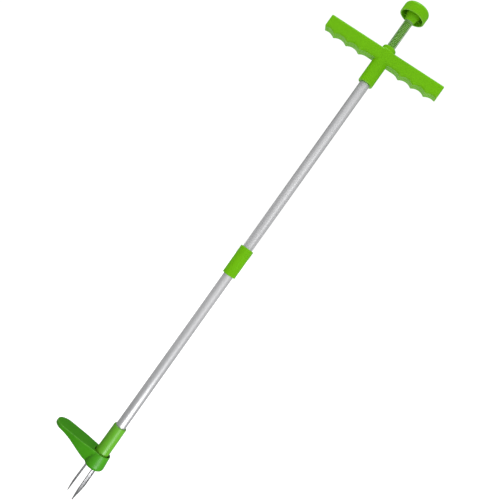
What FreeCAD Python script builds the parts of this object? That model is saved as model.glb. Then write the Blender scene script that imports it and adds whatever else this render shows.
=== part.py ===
import FreeCAD, Part
import math
import os

from FreeCAD import Vector

# Stand up weeder with a push-knob ejector.
# Millimetres, +Z up along the tube. The origin is on the tube's axis at the level of the lowest claw tip.
# The T-handle lies along X, the foot pedal points to -X, and -Y is the front.

# ---------------------------------------------------------------- driving dimensions
TOTAL_HEIGHT = 1000.0

# aluminium tubes
TUBE_RADIUS = 9.0
TUBE_WALL = 1.2
TUBE_SLIP = 0.05
TUBE_BORE = TUBE_RADIUS - TUBE_WALL
SOCKET_BORE = TUBE_RADIUS + TUBE_SLIP

# push rods inside the tubes
ROD_RADIUS = 3.0
ROD_SLIP = 0.05
ROD_JOINT_Z = 482.0
ROD_JOINT_GAP = 0.2
COUPLER_RADIUS = 5.0
COUPLER_LENGTH = 30.0
SET_SCREW_RADIUS = 1.5
SET_SCREW_LENGTH = 2.0
SET_SCREW_OFFSET = 8.0

# T-handle
ARM_HALF_SPAN = 111.0
ARM_TOP = 909.0
ARM_HALF_DEPTH = 12.5
ARM_WALL = 2.5
ARM_EDGE = 3.5
ARM_END_CORNER = 3.0
SCALLOP_RADIUS = 20.0
SCALLOP_PITCH = 25.5
SCALLOP_FIRST_X = 27.25
SCALLOP_TOP = 887.3
SCALLOP_COUNT = 4
CUSP_RADIUS = 2.0
COLUMN_RADIUS = 13.4
COLUMN_BOTTOM = 844.5
NECK_RADIUS = 12.2
NECK_TOP = 917.0
NECK_EDGE = 2.5
HANDLE_POST_RADIUS = 3.6
HANDLE_SCREW_X = (40.0, 91.0)
HANDLE_SCREW_Z = 898.0

# top bush, stem and spring
BUSH_BOTTOM = 896.0
BUSH_FLANGE_RADIUS = 8.6
BUSH_FLANGE = 3.0
BUSH_RADIUS = 7.4
SEAT_Z = 909.0
SEAT_RADIUS = 8.1
WASHER_RADIUS = 7.75
WASHER_THICKNESS = 1.0
STEM_RADIUS = 5.8
STEM_BOTTOM = 884.0
STEM_TOP = 984.0
RUNNING_FIT = 0.1
SPRING_TOP = 970.0
SPRING_RADIUS = 7.7
SPRING_WIRE = 1.2
SPRING_TURNS = 22
STOP_RADIUS = 7.3
STOP_TOP = 895.5
STOP_HEIGHT = 6.5
STOP_PIN_RADIUS = 1.0

# push knob
KNOB_RADIUS = 22.8
KNOB_RIM_Z = 979.5
KNOB_EDGE = 6.0
KNOB_CROWN = 0.8
KNOB_FLAT_RADIUS = 9.0
KNOB_WALL = 2.6
KNOB_SKIN = 3.6
BOSS_ROOT_RADIUS = 12.0
BOSS_TIP_RADIUS = 7.9
BOSS_BOTTOM = SPRING_TOP + WASHER_THICKNESS
KNOB_RIB = 1.6
KNOB_RIB_RECESS = 5.0
NUT_ACROSS_FLATS = 10.0
NUT_HEIGHT = 5.0
NUT_BOTTOM = 986.0
ROD_TOP = 993.0

# joiner sleeve
JOINER_RADIUS = 12.1
JOINER_BOTTOM = 452.0
JOINER_TOP = 506.5
JOINER_RIB = 1.5
JOINER_EDGE = 1.2

# claw socket
CLAW_SOCKET_TOP = 141.5
CLAW_SOCKET_TOP_RADIUS = 11.7
CLAW_SOCKET_RADIUS = 12.2
HEAD_BOTTOM = 60.5
TUBE_BOTTOM = 96.0
WEB_TOP = 92.0
POCKET_TOP = 72.0
POCKET_RADIUS = 7.8
GUIDE_RADIUS = 6.0
GUIDE_BOTTOM = 75.0
GUIDE_FLANGE_RADIUS = 7.3
GUIDE_FLANGE = 2.0

# ejector
EJECTOR_RADIUS = 7.5
EJECTOR_BOTTOM = 62.0
EJECTOR_TOP = 71.5
EJECTOR_FLOOR = 4.0

# hub and foot pedal
HUB_TOP = 88.5
HUB_TOP_RADIUS = 16.0
HUB_LOW_RADIUS = 17.8
HUB_LOW_Z = 68.0
HUB_EDGE = 5.5
HUB_SLIP = 0.05
CUP_RADIUS = 14.2
CUP_DEPTH = 8.0
PEDAL_REACH = 94.0
PEDAL_RISE = 2.4
PEDAL_HALF_WIDTH = 19.0
PEDAL_PLATE = 3.0
PEDAL_WALL = 2.4
PEDAL_RIB = 2.0
PEDAL_CROSS_RIBS = (-34.0, -50.0, -66.0)
# distance from the axis, half width at the step's top, half width at the level of the hub's bottom
PEDAL_SECTIONS = ((0.0, 15.8, 5.0), (40.0, 19.0, 13.5), (94.0, 19.0, 17.3))
# distance from the axis, depth of the step's lower edge below the hub's top
PEDAL_UNDERSIDE = (
    (94.0, 3.8),
    (83.0, 4.6),
    (72.0, 5.9),
    (58.0, 9.0),
    (44.0, 13.9),
    (33.0, 18.6),
    (20.0, 24.2),
    (0.0, 27.6),
)

# claws
CLAW_WIDTH = 4.5
CLAW_THICKNESS = 3.2
CLAW_INNER_RADIUS = 8.9
CLAW_SPLAY = 1.4
CLAW_TOP = 80.0
CLAW_HEAD = 4.0
CLAW_HEAD_WIDTH = 9.5
CLAW_POINT_LENGTH = 20.0
CLAW_POINT_WIDTH = 1.2
CLAW_POINT_THICKNESS = 1.1
CLAW_SLIP = 0.1
SHORT_CLAW_RISE = 3.5
CLAWS = {
    "claw_front": (-60.0, 0.0),
    "claw_back": (60.0, SHORT_CLAW_RISE),
    "claw_left": (180.0, SHORT_CLAW_RISE),
}

# screws seen from the back
SCREW_RADIUS = 1.7
SCREW_HEAD_RADIUS = 3.2
SCREW_HEAD = 2.0
SCREW_SLIP = 0.05
SCREW_SOCKET_RADIUS = 1.3
SCREW_SOCKET_DEPTH = 1.2
UPPER_TUBE_SCREW_Z = 852.0
JOINER_SCREW_ZS = (464.0, 494.5)
LOWER_TUBE_SCREW_Z = 118.0
PEDAL_SCREW_Z = 68.0
TUBE_SCREW_TIP = 6.7
PEDAL_SCREW_TIP = 8.6

REACH = 300.0


# ---------------------------------------------------------------- small helpers
def cylinder(radius, low, high, x=0.0, y=0.0):
    """Upright cylinder from low to high."""
    return Part.makeCylinder(radius, high - low, Vector(x, y, low))


def ring(outer, inner, low, high):
    """Upright ring from low to high."""
    return cylinder(outer, low, high).cut(cylinder(inner, low - 1.0, high + 1.0))


def line(a, b):
    return Part.LineSegment(a, b).toShape()


def arc(a, middle, b):
    return Part.Arc(a, middle, b).toShape()


def polygon_face(points):
    return Part.Face(Part.makePolygon(points + points[:1]))


def turned(points):
    """Solid turned about Z from a closed outline of (radius, height) points."""
    face = polygon_face([Vector(radius, 0, height) for radius, height in points])
    return face.revolve(Vector(0, 0, 0), Vector(0, 0, 1), 360)


def box(x_low, x_high, y_low, y_high, z_low, z_high):
    return Part.makeBox(x_high - x_low, y_high - y_low, z_high - z_low, Vector(x_low, y_low, z_low))


def mirrored_x(shape):
    return shape.mirror(Vector(0, 0, 0), Vector(1, 0, 0))


def horizontal_edges_at(shape, height):
    """Edges that lie in one horizontal plane."""
    return [
        edge
        for edge in shape.Edges
        if all(abs(vertex.Point.z - height) < 0.01 for vertex in edge.Vertexes)
        and abs(edge.CenterOfMass.z - height) < 0.01
    ]


def back_screw(z, head_seat_y, tip_y, x=0.0):
    """Pan-head screw along Y, driven from the back: its head's underside is at head_seat_y."""
    toward_front = Vector(0, -1, 0)
    shank = Part.makeCylinder(SCREW_RADIUS, head_seat_y - tip_y, Vector(x, head_seat_y, z), toward_front)
    head = Part.makeCylinder(SCREW_HEAD_RADIUS, SCREW_HEAD, Vector(x, head_seat_y + SCREW_HEAD, z), toward_front)
    rim = [edge for edge in head.Edges if abs(edge.CenterOfMass.y - head_seat_y - SCREW_HEAD) < 0.01]
    head = head.makeFillet(SCREW_HEAD * 0.4, [edge for edge in rim if len(edge.Vertexes) == 1])
    drive = Part.makeCylinder(
        SCREW_SOCKET_RADIUS, SCREW_SOCKET_DEPTH, Vector(x, head_seat_y + SCREW_HEAD, z), toward_front
    )
    return head.fuse(shank).cut(drive).removeSplitter()


def back_screw_hole(z, head_seat_y, tip_y, x=0.0):
    """Clearance for a back screw: its shank's hole and a counterbore out through the back."""
    toward_front = Vector(0, -1, 0)
    shank = Part.makeCylinder(
        SCREW_RADIUS + SCREW_SLIP, REACH, Vector(x, tip_y - SCREW_SLIP + REACH, z), toward_front
    )
    seat = Part.makeCylinder(
        SCREW_HEAD_RADIUS + 2 * SCREW_SLIP, REACH, Vector(x, head_seat_y + REACH, z), toward_front
    )
    return shank.fuse(seat)


# ---------------------------------------------------------------- T-handle
def scallop_centres():
    level = SCALLOP_TOP - SCALLOP_RADIUS
    return [Vector(SCALLOP_FIRST_X + i * SCALLOP_PITCH, 0, level) for i in range(SCALLOP_COUNT)]


def toward(start, end, distance):
    return start + (end - start).normalize() * distance


def arm_face():
    """Front outline of the right arm: straight top, square end, and finger scallops below."""
    centres = scallop_centres()
    up = Vector(0, 0, 1)
    top_inner = Vector(0, 0, ARM_TOP)
    low_inner = Vector(0, 0, SCALLOP_TOP)
    # the underside runs level from the column to the crown of the first scallop
    start = centres[0] + up * SCALLOP_RADIUS
    edges = [line(top_inner, low_inner), line(low_inner, start)]
    # scallops joined by small round cusps
    for left, right in zip(centres, centres[1:]):
        half = SCALLOP_PITCH / 2
        rise = math.sqrt((SCALLOP_RADIUS + CUSP_RADIUS) ** 2 - half**2)
        cusp = Vector(left.x + half, 0, left.z + rise)
        cusp_start = toward(left, cusp, SCALLOP_RADIUS)
        cusp_end = toward(right, cusp, SCALLOP_RADIUS)
        between = (start + cusp_start) * 0.5
        edges.append(arc(start, toward(left, between, SCALLOP_RADIUS), cusp_start))
        edges.append(arc(cusp_start, cusp - up * CUSP_RADIUS, cusp_end))
        start = cusp_end
    # the last scallop runs out at the arm's end
    last = centres[-1]
    end_run = ARM_HALF_SPAN - last.x
    scallop_end = last + Vector(end_run, 0, math.sqrt(SCALLOP_RADIUS**2 - end_run**2))
    edges.append(arc(start, last + up * SCALLOP_RADIUS, scallop_end))
    corner_low = Vector(ARM_HALF_SPAN, 0, ARM_TOP - ARM_END_CORNER)
    corner_high = Vector(ARM_HALF_SPAN - ARM_END_CORNER, 0, ARM_TOP)
    corner_centre = Vector(ARM_HALF_SPAN - ARM_END_CORNER, 0, ARM_TOP - ARM_END_CORNER)
    corner_middle = corner_centre + Vector(1, 0, 1).normalize() * ARM_END_CORNER
    edges.append(line(scallop_end, corner_low))
    edges.append(arc(corner_low, corner_middle, corner_high))
    edges.append(line(corner_high, top_inner))
    return Part.Face(Part.Wire(edges))


def arm_solid():
    """Right arm, full depth, with rounded long edges."""
    face = arm_face()
    face.translate(Vector(0, -ARM_HALF_DEPTH, 0))
    arm = face.extrude(Vector(0, 2 * ARM_HALF_DEPTH, 0))
    rim = [
        edge
        for edge in arm.Edges
        if abs(abs(edge.CenterOfMass.y) - ARM_HALF_DEPTH) < 0.01 and edge.BoundBox.XMax > COLUMN_RADIUS + 0.1
    ]
    return arm.makeFillet(ARM_EDGE, rim)


def arm_hollow():
    """The space inside one arm, a wall's thickness in from its outline."""
    inner = arm_face().makeOffset2D(-ARM_WALL)
    inner.translate(Vector(0, ARM_WALL - ARM_HALF_DEPTH, 0))
    hollow = inner.extrude(Vector(0, 2 * (ARM_HALF_DEPTH - ARM_WALL), 0))
    return hollow.cut(cylinder(COLUMN_RADIUS, 0, TOTAL_HEIGHT))


def handle_whole():
    """The T-handle before it is split: column, neck, two arms, and everything cut into them."""
    column = cylinder(COLUMN_RADIUS, COLUMN_BOTTOM, ARM_TOP)
    neck = cylinder(NECK_RADIUS, ARM_TOP - 1.0, NECK_TOP)
    neck = neck.makeFillet(NECK_EDGE, horizontal_edges_at(neck, NECK_TOP))
    arm = arm_solid()
    body = column.fuse([neck, arm, mirrored_x(arm)]).removeSplitter()
    hollow = arm_hollow()
    post_ys = ARM_HALF_DEPTH - ARM_WALL
    for x in HANDLE_SCREW_X:
        post = Part.makeCylinder(
            HANDLE_POST_RADIUS, 2 * post_ys, Vector(x, -post_ys, HANDLE_SCREW_Z), Vector(0, 1, 0)
        )
        hollow = hollow.cut(post)
    cuts = [
        hollow,
        mirrored_x(hollow),
        cylinder(SOCKET_BORE, COLUMN_BOTTOM - 1, BUSH_BOTTOM),
        cylinder(BUSH_FLANGE_RADIUS + TUBE_SLIP, BUSH_BOTTOM - 0.5, BUSH_BOTTOM + BUSH_FLANGE + TUBE_SLIP),
        cylinder(BUSH_RADIUS + TUBE_SLIP, BUSH_BOTTOM, SEAT_Z + 0.5),
        cylinder(SEAT_RADIUS, SEAT_Z, NECK_TOP + 1),
        back_screw_hole(UPPER_TUBE_SCREW_Z, COLUMN_RADIUS - SCREW_HEAD, TUBE_SCREW_TIP),
    ]
    for x in HANDLE_SCREW_X:
        for side in (-x, x):
            cuts.append(back_screw_hole(HANDLE_SCREW_Z, ARM_HALF_DEPTH - ARM_WALL, handle_screw_tip(), side))
    return body.cut(cuts)


def handle_screw_tip():
    return -ARM_HALF_DEPTH + ARM_WALL


def handle_shell(side):
    """One half of the handle: side is -1 for the front and +1 for the back."""
    low, high = (0.0, REACH) if side > 0 else (-REACH, 0.0)
    half_space = box(-REACH, REACH, low, high, 0, 2 * TOTAL_HEIGHT)
    return handle_whole().common(half_space)


def handle_screws():
    seat = ARM_HALF_DEPTH - ARM_WALL
    sides = [side for x in HANDLE_SCREW_X for side in (-x, x)]
    return Part.makeCompound([back_screw(HANDLE_SCREW_Z, seat, handle_screw_tip(), x) for x in sides])


# ---------------------------------------------------------------- top guide, spring and knob
def top_guide_bush():
    flange = cylinder(BUSH_FLANGE_RADIUS, BUSH_BOTTOM, BUSH_BOTTOM + BUSH_FLANGE)
    body = cylinder(BUSH_RADIUS, BUSH_BOTTOM, SEAT_Z)
    bore = cylinder(STEM_RADIUS + RUNNING_FIT, BUSH_BOTTOM - 1, SEAT_Z + 1)
    return flange.fuse(body).cut(bore).removeSplitter()


def spring_seat_washer():
    return ring(WASHER_RADIUS, STEM_RADIUS + 3 * RUNNING_FIT, SEAT_Z, SEAT_Z + WASHER_THICKNESS)


def spring_top_washer():
    return ring(WASHER_RADIUS, STEM_RADIUS + ROD_SLIP, SPRING_TOP, SPRING_TOP + WASHER_THICKNESS)


def return_spring():
    """Compression spring between the two washers, its ends ground flat."""
    low = SEAT_Z + WASHER_THICKNESS
    mean = SPRING_RADIUS - SPRING_WIRE / 2
    wire_radius = SPRING_WIRE / 2
    length = SPRING_TOP - low - 2 * wire_radius
    helix = Part.makeHelix(length / SPRING_TURNS, length, mean)
    section = Part.Wire(Part.makeCircle(wire_radius, Vector(mean, 0, 0), Vector(0, 1, 0)))
    coil = Part.Wire(helix.Edges).makePipeShell([section], True, True)
    coil.translate(Vector(0, 0, low + wire_radius))
    return coil


def plunger_stem():
    stem = ring(STEM_RADIUS, ROD_RADIUS + ROD_SLIP, STEM_BOTTOM, STEM_TOP)
    return stem.cut(stop_pin_hole())


def stop_pin_z():
    return STOP_TOP - STOP_HEIGHT / 2


def stop_pin_hole():
    start = Vector(0, -STOP_RADIUS - 1, stop_pin_z())
    return Part.makeCylinder(STOP_PIN_RADIUS + 0.02, 2 * STOP_RADIUS + 2, start, Vector(0, 1, 0))


def rod_stop_collar():
    collar = ring(STOP_RADIUS, STEM_RADIUS + ROD_SLIP, STOP_TOP - STOP_HEIGHT, STOP_TOP)
    return collar.cut(stop_pin_hole())


def collar_pin():
    length = 2 * STOP_RADIUS - 0.6
    return Part.makeCylinder(STOP_PIN_RADIUS, length, Vector(0, -length / 2, stop_pin_z()), Vector(0, 1, 0))


def knob_outer():
    """Crowned disc with a large round top edge and a small flat in the middle."""
    shoulder_radius = KNOB_RADIUS - KNOB_EDGE
    shoulder = TOTAL_HEIGHT - KNOB_CROWN
    fillet_centre = Vector(shoulder_radius, 0, shoulder - KNOB_EDGE)
    fillet_middle = fillet_centre + Vector(1, 0, 1).normalize() * KNOB_EDGE
    flat_edge = Vector(KNOB_FLAT_RADIUS, 0, TOTAL_HEIGHT)
    shoulder_point = Vector(shoulder_radius, 0, shoulder)
    crown_middle = (flat_edge + shoulder_point) * 0.5 + Vector(0, 0, KNOB_CROWN / 8)
    side_top = Vector(KNOB_RADIUS, 0, shoulder - KNOB_EDGE)
    side_bottom = Vector(KNOB_RADIUS, 0, KNOB_RIM_Z)
    centre_bottom = Vector(0, 0, KNOB_RIM_Z)
    centre_top = Vector(0, 0, TOTAL_HEIGHT)
    edges = [
        line(centre_top, flat_edge),
        arc(flat_edge, crown_middle, shoulder_point),
        arc(shoulder_point, fillet_middle, side_top),
        line(side_top, side_bottom),
        line(side_bottom, centre_bottom),
        line(centre_bottom, centre_top),
    ]
    return Part.Face(Part.Wire(edges)).revolve(Vector(0, 0, 0), Vector(0, 0, 1), 360)


def knob_cap():
    """Hollow push knob with a conical boss and four recessed ribs."""
    inner_radius = KNOB_RADIUS - KNOB_WALL
    ceiling = TOTAL_HEIGHT - KNOB_SKIN
    hollow_edge = KNOB_EDGE - KNOB_WALL
    hollow = turned(
        [
            (0, KNOB_RIM_Z - 1),
            (inner_radius, KNOB_RIM_Z - 1),
            (inner_radius, ceiling - hollow_edge),
            (inner_radius - hollow_edge, ceiling),
            (0, ceiling),
        ]
    )
    boss = turned(
        [
            (0, BOSS_BOTTOM),
            (BOSS_TIP_RADIUS, BOSS_BOTTOM),
            (BOSS_ROOT_RADIUS, KNOB_RIM_Z + KNOB_RIB_RECESS),
            (BOSS_ROOT_RADIUS, ceiling + 0.5),
            (0, ceiling + 0.5),
        ]
    )
    ribs = []
    for turn in range(4):
        rib = box(
            0, inner_radius + 0.5, -KNOB_RIB / 2, KNOB_RIB / 2, KNOB_RIM_Z + KNOB_RIB_RECESS, ceiling + 0.5
        )
        rib.rotate(Vector(0, 0, 0), Vector(0, 0, 1), 45 + 90 * turn)
        ribs.append(rib.common(knob_outer()))
    cap = knob_outer().cut(hollow).fuse([boss] + ribs)
    stem_socket = cylinder(STEM_RADIUS + ROD_SLIP, BOSS_BOTTOM - 1, STEM_TOP)
    rod_hole = cylinder(ROD_RADIUS + ROD_SLIP, BOSS_BOTTOM - 1, ROD_TOP + ROD_SLIP)
    return cap.cut([stem_socket, rod_hole, nut_block(NUT_ACROSS_FLATS + 2 * ROD_SLIP)]).removeSplitter()


def nut_block(across_flats):
    """Six-sided block where the nut lies."""
    corner = across_flats / 2 / math.cos(math.radians(30))
    points = [
        Vector(corner * math.cos(math.radians(60 * i)), corner * math.sin(math.radians(60 * i)), NUT_BOTTOM)
        for i in range(6)
    ]
    return polygon_face(points).extrude(Vector(0, 0, NUT_HEIGHT))


def knob_nut():
    return nut_block(NUT_ACROSS_FLATS).cut(cylinder(ROD_RADIUS + ROD_SLIP, NUT_BOTTOM - 1, ROD_TOP))


# ---------------------------------------------------------------- push rods and ejector
def upper_push_rod():
    rod = cylinder(ROD_RADIUS, ROD_JOINT_Z + ROD_JOINT_GAP / 2, ROD_TOP)
    return rod.cut(stop_pin_hole())


def lower_push_rod():
    rod = cylinder(ROD_RADIUS, EJECTOR_BOTTOM + EJECTOR_FLOOR, ROD_JOINT_Z - ROD_JOINT_GAP / 2)
    return rod.cut(cylinder(SCREW_RADIUS + SCREW_SLIP, 0, POCKET_TOP + EJECTOR_FLOOR))


def set_screw(z, radius):
    start = Vector(COUPLER_RADIUS - SET_SCREW_LENGTH, 0, z)
    return Part.makeCylinder(radius, SET_SCREW_LENGTH, start, Vector(1, 0, 0))


def set_screw_levels():
    return (ROD_JOINT_Z - SET_SCREW_OFFSET, ROD_JOINT_Z + SET_SCREW_OFFSET)


def rod_coupler():
    low = ROD_JOINT_Z - COUPLER_LENGTH / 2
    coupler = ring(COUPLER_RADIUS, ROD_RADIUS + ROD_SLIP, low, low + COUPLER_LENGTH)
    return coupler.cut([set_screw(z, SET_SCREW_RADIUS + ROD_SLIP) for z in set_screw_levels()])


def coupler_set_screws():
    shortened = box(0, COUPLER_RADIUS - 0.3, -5, 5, 0, TOTAL_HEIGHT)
    screws = [set_screw(z, SET_SCREW_RADIUS).common(shortened) for z in set_screw_levels()]
    return Part.makeCompound(screws)


def ejector_plunger():
    """Pusher disc with a bevelled lower edge, a rod socket above and a screw recess below."""
    bevel = 1.5
    disc = turned(
        [
            (0, EJECTOR_BOTTOM),
            (EJECTOR_RADIUS - bevel, EJECTOR_BOTTOM),
            (EJECTOR_RADIUS, EJECTOR_BOTTOM + bevel),
            (EJECTOR_RADIUS, EJECTOR_TOP),
            (0, EJECTOR_TOP),
        ]
    )
    rod_socket = cylinder(ROD_RADIUS + ROD_SLIP, EJECTOR_BOTTOM + EJECTOR_FLOOR, EJECTOR_TOP + 1)
    recess = cylinder(SCREW_HEAD_RADIUS + SCREW_SLIP, 0, EJECTOR_BOTTOM + SCREW_HEAD)
    shank = cylinder(SCREW_RADIUS + SCREW_SLIP, 0, EJECTOR_TOP)
    return disc.cut([rod_socket, recess, shank])


def ejector_screw():
    head_top = EJECTOR_BOTTOM + SCREW_HEAD
    head = cylinder(SCREW_HEAD_RADIUS, EJECTOR_BOTTOM + SCREW_SLIP, head_top)
    shank = cylinder(SCREW_RADIUS, head_top - 0.5, POCKET_TOP + EJECTOR_FLOOR - 1)
    drive = cylinder(SCREW_SOCKET_RADIUS, 0, EJECTOR_BOTTOM + SCREW_SOCKET_DEPTH)
    return head.fuse(shank).cut(drive).removeSplitter()


# ---------------------------------------------------------------- tubes and joiner
def upper_tube():
    tube = ring(TUBE_RADIUS, TUBE_BORE, joiner_middle() + JOINER_RIB / 2, BUSH_BOTTOM - 0.5)
    holes = [back_screw_hole(UPPER_TUBE_SCREW_Z, COLUMN_RADIUS - SCREW_HEAD, TUBE_SCREW_TIP)]
    holes.append(joiner_screw_hole(JOINER_SCREW_ZS[1]))
    return tube.cut(holes)


def lower_tube():
    tube = ring(TUBE_RADIUS, TUBE_BORE, TUBE_BOTTOM, joiner_middle() - JOINER_RIB / 2)
    return tube.cut([lower_tube_screw_hole(), joiner_screw_hole(JOINER_SCREW_ZS[0])])


def joiner_middle():
    return (JOINER_BOTTOM + JOINER_TOP) / 2


def joiner_screw_hole(z):
    return back_screw_hole(z, JOINER_RADIUS - SCREW_HEAD + 0.8, TUBE_SCREW_TIP)


def joiner_sleeve():
    """Sleeve over both tubes, with a stop rib in the middle and softened ends."""
    sleeve = cylinder(JOINER_RADIUS, JOINER_BOTTOM, JOINER_TOP)
    ends = horizontal_edges_at(sleeve, JOINER_BOTTOM) + horizontal_edges_at(sleeve, JOINER_TOP)
    sleeve = sleeve.makeFillet(JOINER_EDGE, ends)
    rib_low = joiner_middle() - JOINER_RIB / 2
    bores = [
        cylinder(SOCKET_BORE, JOINER_BOTTOM - 1, rib_low),
        cylinder(SOCKET_BORE, rib_low + JOINER_RIB, JOINER_TOP + 1),
        cylinder(TUBE_BORE, JOINER_BOTTOM, JOINER_TOP),
    ]
    return sleeve.cut(bores + [joiner_screw_hole(z) for z in JOINER_SCREW_ZS])


def joiner_screws():
    seat = JOINER_RADIUS - SCREW_HEAD + 0.8
    return Part.makeCompound([back_screw(z, seat, TUBE_SCREW_TIP) for z in JOINER_SCREW_ZS])


def upper_tube_screw():
    return back_screw(UPPER_TUBE_SCREW_Z, COLUMN_RADIUS - SCREW_HEAD, TUBE_SCREW_TIP)


# ---------------------------------------------------------------- head: socket, hub, pedal and claws
def lower_tube_screw_seat():
    return CLAW_SOCKET_TOP_RADIUS - 1.0


def lower_tube_screw_hole():
    return back_screw_hole(LOWER_TUBE_SCREW_Z, lower_tube_screw_seat(), TUBE_SCREW_TIP)


def lower_tube_screw():
    return back_screw(LOWER_TUBE_SCREW_Z, lower_tube_screw_seat(), TUBE_SCREW_TIP)


def pedal_screw_seat():
    return HUB_LOW_RADIUS - SCREW_HEAD - 0.4


def pedal_screw_hole():
    return back_screw_hole(PEDAL_SCREW_Z, pedal_screw_seat(), PEDAL_SCREW_TIP)


def pedal_screw():
    return back_screw(PEDAL_SCREW_Z, pedal_screw_seat(), PEDAL_SCREW_TIP)


def claw_socket():
    """Green socket: tube bore above, guide web in the middle, ejector pocket and claw grooves below."""
    lead = 1.2
    body = turned(
        [
            (0, HEAD_BOTTOM),
            (CLAW_SOCKET_RADIUS, HEAD_BOTTOM),
            (CLAW_SOCKET_RADIUS, HUB_TOP),
            (CLAW_SOCKET_TOP_RADIUS, CLAW_SOCKET_TOP - lead),
            (CLAW_SOCKET_TOP_RADIUS - lead / 2, CLAW_SOCKET_TOP),
            (0, CLAW_SOCKET_TOP),
        ]
    )
    cuts = [
        cylinder(SOCKET_BORE, WEB_TOP, CLAW_SOCKET_TOP + 1),
        cylinder(GUIDE_RADIUS + ROD_SLIP, GUIDE_BOTTOM, WEB_TOP + 1),
        cylinder(ROD_RADIUS + 4 * RUNNING_FIT, POCKET_TOP - 1, GUIDE_BOTTOM + 1),
        cylinder(POCKET_RADIUS, HEAD_BOTTOM - 1, POCKET_TOP),
        lower_tube_screw_hole(),
        pedal_screw_hole(),
    ]
    for angle, _ in CLAWS.values():
        cuts.append(claw_groove(angle))
    return body.cut(cuts)


def claw_groove(angle):
    """Groove that holds one claw's shank and its wider head."""
    outer = CLAW_SOCKET_RADIUS + 1
    inner = CLAW_INNER_RADIUS - CLAW_SLIP
    half_shank = CLAW_WIDTH / 2 + CLAW_SLIP
    half_head = CLAW_HEAD_WIDTH / 2 + CLAW_SLIP
    head_low = CLAW_TOP - CLAW_HEAD - CLAW_SLIP
    shank = box(inner, outer, -half_shank, half_shank, HEAD_BOTTOM - 1, CLAW_TOP + CLAW_SLIP)
    head = box(inner, outer, -half_head, half_head, head_low, CLAW_TOP + CLAW_SLIP)
    groove = shank.fuse(head)
    groove.rotate(Vector(0, 0, 0), Vector(0, 0, 1), angle)
    return groove


def claw(angle, rise):
    """Flat steel tine, splayed outward below the hub, tapered on both faces to a narrow point."""
    half = CLAW_WIDTH / 2
    half_head = CLAW_HEAD_WIDTH / 2
    half_point = CLAW_POINT_WIDTH / 2
    outer = CLAW_INNER_RADIUS + CLAW_THICKNESS
    tip_inner = CLAW_INNER_RADIUS + CLAW_SPLAY
    point_top = rise + CLAW_POINT_LENGTH
    splay_at_point = CLAW_SPLAY * (HEAD_BOTTOM - point_top) / (HEAD_BOTTOM - rise)
    edge_view = polygon_face(
        [
            Vector(CLAW_INNER_RADIUS, 0, CLAW_TOP),
            Vector(outer, 0, CLAW_TOP),
            Vector(outer, 0, HEAD_BOTTOM),
            Vector(outer + splay_at_point, 0, point_top),
            Vector(tip_inner + CLAW_POINT_THICKNESS, 0, rise),
            Vector(tip_inner, 0, rise),
            Vector(CLAW_INNER_RADIUS, 0, HEAD_BOTTOM),
        ]
    )
    edge_view.translate(Vector(0, -half_head, 0))
    slab = edge_view.extrude(Vector(0, CLAW_HEAD_WIDTH, 0))
    face_view = polygon_face(
        [
            Vector(0, -half_head, CLAW_TOP),
            Vector(0, half_head, CLAW_TOP),
            Vector(0, half_head, CLAW_TOP - CLAW_HEAD),
            Vector(0, half, CLAW_TOP - CLAW_HEAD),
            Vector(0, half, point_top),
            Vector(0, half_point, rise),
            Vector(0, -half_point, rise),
            Vector(0, -half, point_top),
            Vector(0, -half, CLAW_TOP - CLAW_HEAD),
            Vector(0, -half_head, CLAW_TOP - CLAW_HEAD),
        ]
    )
    tine = slab.common(face_view.extrude(Vector(REACH, 0, 0)))
    # the head's corners are trimmed to the hub's bore
    tine = tine.common(cylinder(CLAW_SOCKET_RADIUS, HEAD_BOTTOM, CLAW_TOP).fuse(
        cylinder(REACH, rise, HEAD_BOTTOM)
    ))
    tine.rotate(Vector(0, 0, 0), Vector(0, 0, 1), angle)
    return tine.removeSplitter()


def lower_guide_bush():
    body = cylinder(GUIDE_RADIUS, GUIDE_BOTTOM, WEB_TOP)
    flange = cylinder(GUIDE_FLANGE_RADIUS, WEB_TOP, WEB_TOP + GUIDE_FLANGE)
    bore = cylinder(ROD_RADIUS + RUNNING_FIT, GUIDE_BOTTOM - 1, WEB_TOP + GUIDE_FLANGE + 1)
    return body.fuse(flange).cut(bore).removeSplitter()


def pedal_plan(inset):
    """Plan outline of the step, its tip a half circle, drawn inset from its edge."""
    half = PEDAL_HALF_WIDTH - inset
    centre_x = PEDAL_HALF_WIDTH - PEDAL_REACH
    z = HEAD_BOTTOM
    edges = [
        line(Vector(0, -half, z), Vector(centre_x, -half, z)),
        arc(Vector(centre_x, -half, z), Vector(centre_x - half, 0, z), Vector(centre_x, half, z)),
        line(Vector(centre_x, half, z), Vector(0, half, z)),
        line(Vector(0, half, z), Vector(0, -half, z)),
    ]
    return Part.Face(Part.Wire(edges)).extrude(Vector(0, 0, HUB_TOP + PEDAL_RISE - HEAD_BOTTOM))


def pedal_flanks(inset):
    """Space between the step's two sides, which lean inward below and close in toward the hub."""
    top = HUB_TOP + PEDAL_RISE
    sections = []
    for distance, half_top, half_low in PEDAL_SECTIONS:
        corners = [
            Vector(-distance, half_top - inset, top),
            Vector(-distance, half_low - inset, HEAD_BOTTOM),
            Vector(-distance, inset - half_low, HEAD_BOTTOM),
            Vector(-distance, inset - half_top, top),
        ]
        sections.append(Part.makePolygon(corners + corners[:1]))
    return Part.makeLoft(sections, True, True)


def pedal_side(drop, lower_edge):
    """Side view, full width: a top line that rises toward the tip, set down by the drop, over a lower edge."""
    tip_top = Vector(-PEDAL_REACH, 0, HUB_TOP + PEDAL_RISE - drop)
    hub_top = Vector(0, 0, HUB_TOP - drop)
    start, end = lower_edge.valueAt(lower_edge.FirstParameter), lower_edge.valueAt(lower_edge.LastParameter)
    face = Part.Face(Part.Wire([lower_edge, line(end, hub_top), line(hub_top, tip_top), line(tip_top, start)]))
    face.translate(Vector(0, -REACH, 0))
    return face.extrude(Vector(0, 2 * REACH, 0))


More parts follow.
